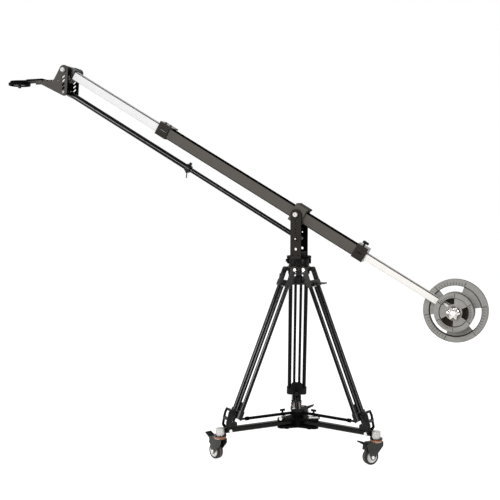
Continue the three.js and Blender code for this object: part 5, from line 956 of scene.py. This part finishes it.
OUTER = dict(low=-0.870, high=0.380, width=0.046, height=0.059, wall=0.003, corner=0.0045)
FRONT = dict(low=-1.4547, high=-0.654, width=0.039, height=0.044, wall=0.0025, corner=0.0045,
             drop=0.0025)
REAR = dict(low=0.230, high=0.894, width=0.035, height=0.035, wall=0.0025, corner=0.0045,
            drop=0.0015)
outer_piece = add_piece("boom_outer_section", box_tube(**OUTER), BOOM, "boom",
                        graphite, ["boom_outer_tube"])
front_piece = add_piece("boom_front_section", box_tube(**FRONT), BOOM, "front_arm",
                        drawn_alloy, ["front_tube"])
rear_piece = add_piece("boom_rear_section", box_tube(**REAR), BOOM, "rear_arm",
                       rear_alloy_painted_light, ["rear_tube"])


def shade_corners(piece, tube, material, places):
    """Painted reflection and shade: another finish for "all" faces above and below the flat sides,
    or for the "top" corners.
    """
    flat_half = tube["height"] / 2 - tube["corner"]
    flat_side = tube["width"] / 2 - tube["corner"]
    middle = -tube.get("drop", 0.0)

    def on_corner(p):
        high = p.z - middle
        if places == "all":
            return abs(high) > flat_half
        return high > flat_half and abs(p.y) > flat_side

    return paint(piece, material, on_corner, BOOM)


# Painted shade on the outer section, painted reflection on the top corners of the others.
print("dark faces:", shade_corners(outer_piece, OUTER, painted_shade_black, "all"),
      shade_corners(front_piece, FRONT, painted_corner_reflection, "top"),
      shade_corners(rear_piece, REAR, painted_corner_reflection, "top"))

# %% Cap on the rear section
CAP_INSET, CAP_THICKNESS, CAP_CORNER = 0.0030, 0.0040, 0.003
cap_outline = rounded_box(REAR["width"] - CAP_INSET, REAR["height"] - CAP_INSET, CAP_CORNER)
cap_place = BOOM @ move(REAR["high"] - CAP_THICKNESS, 0, -REAR["drop"]) @ turn(math.pi / 2, "Y")
add_piece("rear_section_cap", slab(cap_outline, 0, CAP_THICKNESS), cap_place, "rear_arm",
          moulded_black, bevel=0.0006)
print("boom sections:", [round(tube["high"] - tube["low"], 3) for tube in (OUTER, FRONT, REAR)])

# %% Saddle, collars and end block
COLLAR_TOP, COLLAR_FLAT = 0.0378, 0.0290
COLLAR_SCREWS, COLLAR_SCREW_SIZE = (-0.855, -0.825), 1.2
dress("saddle", graphite, 0.0010, 3)
for node in ("front_collar", "rear_collar"):
    collar = dress(node, anodised_black, 0.0010, 3)
    paint(collar, yoke_grey, lambda p: abs(p.y) > COLLAR_FLAT, BOOM)
dress("head_end_block", cast_black, 0.0012, 3)
front_screws = [BOOM @ move(x, 0, COLLAR_TOP) for x in COLLAR_SCREWS]
add_screws("front_collar_screws", front_screws, "boom", matt_black,
           COLLAR_SCREW_SIZE)
print("collar screws:", len(front_screws))

# %% [markdown]
# ## Rear lock knob
#
# The rear collar is tightened by a three-lobed plastic knob. Its outline is a circle with three
# soft waves, which is smoother than three discs that meet in creases.

# %% Rear lock knob
KNOB_STATION, KNOB_SEAT = 0.351, 0.0381
KNOB_LOBES, KNOB_MEAN, KNOB_WAVE = 3, 0.0140, 0.0044
STEM_WIDTH, STEM_TOP, GRIP_LOW, GRIP_TOP = 0.0050, 0.0100, 0.0090, 0.0210
knob_place = BOOM @ move(KNOB_STATION, 0, KNOB_SEAT)
knob_outline = wavy(KNOB_MEAN, KNOB_WAVE, KNOB_LOBES, 72)
stem = lathe([(0, 0), (STEM_WIDTH, 0), (STEM_WIDTH, STEM_TOP), (0, STEM_TOP)], 32)
grip = slab(knob_outline, GRIP_LOW, GRIP_TOP)
add_piece("rear_knob_grip", merged([(grip, Matrix()), (stem, Matrix())]), knob_place,
          "rear_knob", moulded_black, ["rear_lock_knob"], 0.0022, 3)
print("knob lobes:", KNOB_LOBES)

# %% [markdown]
# ## The levelling rod
#
# The rod under the boom runs from the yoke to the camera head. Together with the boom, the yoke
# and the head it makes a parallelogram, so the head never tips. Its front half is a sleeve that
# slides on the rear half and is held by a lever clamp. The ends of its two hinge pins show as
# small bright buttons on the plates.

# %% Rod
ROD_RADIUS, SLEEVE_RADIUS = 0.012, 0.015
SLEEVE_START, ROD_INSIDE = 0.676, 0.700
EYE_END = 0.027
dress("rod_rear", anodised_black, 0.0010, 3)
dress("rod_front", anodised_black, 0.0010, 3)
dress("rod_clamp", moulded_black, 0.0010, 3)
ALONG = turn(-math.pi / 2, "Y")
rear_skin = merged([skin(ROD_RADIUS, EYE_END, ROD_INSIDE, ROD @ ALONG, 48)])
add_piece("rod_rear_skin", rear_skin, Matrix(), "rod", anodised_black)
front_skin = merged([skin(SLEEVE_RADIUS, SLEEVE_START, HEAD_REACH - EYE_END, ROD @ ALONG, 48)])
add_piece("rod_sleeve_skin", front_skin, Matrix(), "rod_sleeve", anodised_black)
print("sleeve starts at", SLEEVE_START, "m from the yoke")

# %% Pin ends
PIN_RADIUS, PIN_TOP_RADIUS, PIN_SHOULDER, PIN_HEIGHT = 0.0042, 0.0034, 0.0012, 0.0020
PIN_FACES = {"rod": (0.0, 0.0630, "yoke"), "rod_sleeve": (-HEAD_REACH, 0.0615, "head")}
for body, (station, face, mate) in PIN_FACES.items():
    hinge = ROD @ move(station, 0, 0)
    nose = [(0.0, 0.0), (PIN_RADIUS, 0.0), (PIN_RADIUS, PIN_SHOULDER),
            (PIN_TOP_RADIUS, PIN_HEIGHT), (0.0, PIN_HEIGHT)]
    parts = [(lathe(nose, 32), hinge @ move(0, sign * face, 0) @ facing)
             for facing, sign in SIDES.values()]
    add_piece(f"{mate}_pin_noses", merged(parts), Matrix(), body, satin_steel)
print("hinge pins:", len(PIN_FACES))

# %% [markdown]
# ## Camera head
#
# Two slotted side plates hang on the boom's end and carry a platform with a bowl ring, in which
# the camera's own tripod head is clamped. The plates are cut from sheet, so they only need soft
# edges, and like the yoke's plates they get a near-black painted shade on their edges and inner
# faces. The bowl ring and its wide knob are turned.

# %% Head
PLATE_OUTSIDE = 0.0575
dress("camera_platform", matt_black, 0.0009, 3)
dress("head_axle", anodised_black, 0.0014, 3)
add_piece("head_axle_nose", axle_nose(HEAD_NOSE_TIP),
          HEAD @ move(0, -HEAD_AXLE_FLANGE, 0) @ NEAR, "front_arm", satin_steel,
          bevel=0.0003)
for side, (facing, sign) in SIDES.items():
    plate = dress(f"head_{side}_plate", head_grey, 0.0009, 3)
    # Painted shade: near black on the edges and the inner face.
    paint(plate, painted_shade_black, lambda p: sign * p.y < PLATE_OUTSIDE - PLATE_INSET, HEAD)
print("head plates:", len(SIDES))

# %% Bowl ring and bowl knob
RING_OUT = 0.321
RING_TOP, RING_LOW_EDGE, RING_FLOOR = -0.0480, -0.0620, 0.0050
BOWL_RADIUS, BOWL_RIM, BOWL_BORE = 0.0590, 0.0050, 0.0240
ring_place = HEAD @ move(-RING_OUT, 0, 0)
bowl_profile = [
    (BOWL_BORE, RING_TOP - RING_FLOOR), (BOWL_RADIUS - BOWL_RIM, RING_TOP - RING_FLOOR),
    (BOWL_RADIUS - BOWL_RIM, RING_LOW_EDGE), (BOWL_RADIUS, RING_LOW_EDGE),
    (BOWL_RADIUS, RING_TOP), (BOWL_BORE, RING_TOP),
]
add_piece("bowl_ring_turned", lathe(bowl_profile, 80), ring_place, "head",
          matt_black, ["bowl_ring"], 0.0010, 3)
KNOB_RIM, KNOB_RIM_WAVE, KNOB_RIM_WAVES = 0.0302, 0.0008, 20
KNOB_DISC_TOP, KNOB_DISC_LOW, KNOB_GRIP_LOW = -0.0533, -0.0603, -0.0753
BOLT_TIP, BOLT_WIDTH, BOLT_SHOULDER, BOLT_TOP = 0.0080, 0.0090, -0.0700, -0.0413
disc = slab(wavy(KNOB_RIM, KNOB_RIM_WAVE, KNOB_RIM_WAVES, 160), KNOB_DISC_LOW, KNOB_DISC_TOP)
grip = lathe([(0, KNOB_GRIP_LOW), (BOLT_TIP, KNOB_GRIP_LOW), (BOLT_WIDTH, BOLT_SHOULDER),
              (BOLT_WIDTH, BOLT_TOP), (0, BOLT_TOP)], 40)
add_piece("bowl_knob_turned", merged([(disc, Matrix()), (grip, Matrix())]), ring_place,
          "bowl_tie", moulded_black, ["bowl_knob"], 0.0008, 2)
print("waves on the bowl knob:", KNOB_RIM_WAVES)

# %% Screws in the head
SIDE_SCREWS_OUT, SIDE_SCREWS_DROP, SIDE_SCREW_SIZE = (-0.150, -0.167), -0.0590, 0.9
HOLE_SCREW_OUT, HOLE_SCREW_SEAT, HOLE_SCREW_DROP, HOLE_SCREW_SIZE = -0.038, 0.0545, -0.054, 0.5
side_screws, hole_screws = [], []
for facing, sign in SIDES.values():
    for out in SIDE_SCREWS_OUT:
        spot = move(out, sign * PLATE_OUTSIDE, SIDE_SCREWS_DROP)
        side_screws.append(HEAD @ spot @ facing)
    spot = move(HOLE_SCREW_OUT, sign * HOLE_SCREW_SEAT, HOLE_SCREW_DROP)
    hole_screws.append(HEAD @ spot @ facing)
add_screws("head_side_screws", side_screws, "head", anodised_black,
           SIDE_SCREW_SIZE)
add_screws("head_hole_screws", hole_screws, "head", satin_steel,
           HOLE_SCREW_SIZE)
print("head screws:", len(side_screws) + len(hole_screws))

# %% [markdown]
# ## Counterweights
#
# Each weight is a cast iron plate: a thick rim, a thick hub, a thin web between them and three
# kidney-shaped hand holes. Beside each hole the rim has a shallow recess on both faces, with a
# row of fine ribs for grip. A lathe gives the round form and boolean cuts give the holes and
# recesses. A cast edge is never sharp, so the whole plate gets a wide bevel after the cuts.
# The slopes, the round side, the ribs and the web behind the small plate get a dark painted shade.

# %% Shapes in a weight plate
HOLE_SPREAD, PAD_SPREAD = math.radians(58.0), math.radians(62.0)
HOLE_STEPS = 14
PLATE_BORE = 0.0124
# shares of a plate's thickness or radius
WEB, HUB, SLOPE, WEB_END, EDGE = 0.21, 0.27, 0.034, 0.57, 0.96
PLATES = [
    dict(node="weight_large", radius=0.148, thick=0.034, rim=0.82, inner=0.60, turn=100.7,
         y=0.03480),
    dict(node="weight_small", radius=0.090, thick=0.025, rim=0.75, inner=0.42, turn=117.7,
         y=-0.03030),
]


def plate_profile(radius, thick, rim):
    """Half the profile of a plate, from its bore outward, and then back on the other side."""
    half, web, hub = thick / 2, thick * WEB, radius * HUB
    edge, inside, slope = radius * EDGE, radius * rim, radius * SLOPE
    return mirrored([
        (PLATE_BORE, -half), (hub, -half), (hub + slope, -web), (radius * WEB_END, -web),
        (inside - slope, -web), (inside, -half), (edge, -half), (radius, web / 2 - half),
    ])


def sector(inner, outer, middle, spread, low, high):
    """A part of a ring, given a thickness along Z."""
    outline = arc(outer, middle - spread / 2, middle + spread / 2, HOLE_STEPS)
    outline += arc(inner, middle + spread / 2, middle - spread / 2, HOLE_STEPS)
    return slab(outline, low, high)


def thirds(plate):
    """The three directions in which a plate's holes lie."""
    return [math.radians(plate["turn"]) + k * math.tau / 3 for k in range(3)]


print("plates:", [plate["node"] for plate in PLATES])

# %% Cuts and painted shade
RECESS, PLATE_BEVEL = 0.0012, 0.0012
HOLE_TOP, PAD_ROOT, PAD_EDGE = 0.97, 0.985, 0.962
NOT_FLAT, STANDING, INSIDE_RIM, ON_EDGE = 0.97, 0.2, 1.01, 0.98


def cut_plate(piece, plate, place):
    """The hand holes, and a recess in the rim beside each of them on both faces."""
    half, thick, rim = plate["thick"] / 2, plate["thick"], plate["radius"] * plate["rim"]
    edge = plate["radius"] * PAD_EDGE
    for middle in thirds(plate):
        hole = sector(plate["radius"] * plate["inner"], rim * HOLE_TOP, middle, HOLE_SPREAD,
                      -thick, thick)
        cut_with(piece, hole, place)
        for low, high in ((half - RECESS, half * 2), (-half * 2, RECESS - half)):
            pad = sector(rim * PAD_ROOT, edge, middle, PAD_SPREAD, low, high)
            cut_with(piece, pad, place)


def paint_plate_shade(piece, plate, place):
    """Painted shade: a dark colour on the slopes, the round side, and the web that faces the small
    plate.
    """
    radius, rim = plate["radius"], plate["radius"] * plate["rim"]
    back = place.inverted()
    piece.data.materials.append(painted_shade_iron)
    for face in piece.data.polygons:
        spot, tilt = back @ face.center, abs((back.to_3x3() @ face.normal).z)
        out = math.hypot(spot.x, spot.y)
        in_slope = tilt < NOT_FLAT and out < rim * INSIDE_RIM
        on_side = tilt < STANDING and out > radius * ON_EDGE
        covered = plate["node"] == "weight_large" and spot.z > 0 and out < radius * WEB_END
        if in_slope or on_side or covered:
            face.material_index = 1


print("recesses:", RECESS * 1000, "mm deep")

# %% Ribs
RIB_WIDTH, RIB_SIDE, RIB_STEP = 0.0014, 5, math.radians(6.0)
RIB_OVERLAP, RIB_REACH, END_RIB_WIDTH = 0.0003, 0.62, 1.5


def rib_parts(plate, place):
    """The ribs in the recesses of both faces. The two end ribs are wider and longer."""
    half, rim = plate["thick"] / 2, plate["radius"] * plate["rim"]
    edge = plate["radius"] * PAD_EDGE
    floor_of_recess = half - RECESS - RIB_OVERLAP
    parts = []
    for middle in thirds(plate):
        for n in range(-RIB_SIDE, RIB_SIDE + 1):
            end = abs(n) == RIB_SIDE
            top = edge if end else rim + (edge - rim) * RIB_REACH
            width = RIB_WIDTH * (END_RIB_WIDTH if end else 1.0)
            for low, high in ((-half, -floor_of_recess), (floor_of_recess, half)):
                rib = sector(rim, top, middle + n * RIB_STEP, width / rim, low, high)
                parts.append((rib, place))
    return parts


print("ribs beside each hole:", 2 * RIB_SIDE + 1)

# %% Weight plates
for plate in PLATES:
    place = WEIGHTS @ move(0, plate["y"], 0) @ LEVEL
    profile = plate_profile(plate["radius"], plate["thick"], plate["rim"])
    piece = add_piece(plate["node"] + "_cast", lathe(profile, 96), place, "rear_arm",
                      cast_iron, [plate["node"]])
    cut_plate(piece, plate, place)
    smooth(piece)
    round_edges(piece, PLATE_BEVEL, 3)
    paint_plate_shade(piece, plate, place)
    # The ribs are dark with painted shade.
    ribs = rib_parts(plate, place)
    add_piece(plate["node"] + "_ribs", merged(ribs), Matrix(), "rear_arm",
              painted_shade_iron)
    print(plate["node"], "faces:", len(piece.data.polygons), "ribs:", len(ribs))

# %% Weight axle and star nut
STAR_POINTS, STAR_TIP, STAR_VALLEY = 6, 0.0310, 0.0210
NUT_FACE = -0.0431
FLANGE_RADIUS, FLANGE_DEPTH, STAR_DEPTH, STAR_OVERLAP = 0.0240, 0.0060, 0.0180, 0.0005
STAR_STEPS, TIP_SHARPNESS = 96, 1.3
dress("weight_axle", turned_steel, 0.0008, 2)
star = []
for k in range(STAR_STEPS):
    angle = k * math.tau / STAR_STEPS
    share = 0.5 + 0.5 * math.cos(STAR_POINTS * angle)
    radius = STAR_VALLEY + (STAR_TIP - STAR_VALLEY) * share ** TIP_SHARPNESS
    star.append((radius * math.cos(angle), radius * math.sin(angle)))
nut_place = WEIGHTS @ move(0, NUT_FACE, 0) @ LEVEL
flange = lathe([(PLATE_BORE, 0), (FLANGE_RADIUS, 0), (FLANGE_RADIUS, FLANGE_DEPTH),
                (PLATE_BORE, FLANGE_DEPTH)], 56)
grip = slab(star, FLANGE_DEPTH - STAR_OVERLAP, FLANGE_DEPTH + STAR_DEPTH)
add_piece("star_nut_cast", merged([(flange, Matrix()), (grip, Matrix())]), nut_place,
          "nut", polished_chrome, ["star_nut"], 0.0018, 3)
print("star points:", STAR_POINTS)

# %% [markdown]
# ## Pieces that mirror the lamps
#
# Every CAD piece is dressed or replaced by now. The three boxes of light that are only mirrored
# reach the pieces whose first finish is glossy, and no others.

# %% Fill the glossy collection
GLOSSY = {
    anodised_black, powder_black, satin_casting, cast_black, moulded_black, turned_steel,
    polished_chrome, socket_silver, zinc_fork,
}
for obj in bpy.context.scene.objects:
    if obj.type == "MESH" and not obj.hide_render and GLOSSY & set(obj.data.materials[:1]):
        glossy_pieces.objects.link(obj)
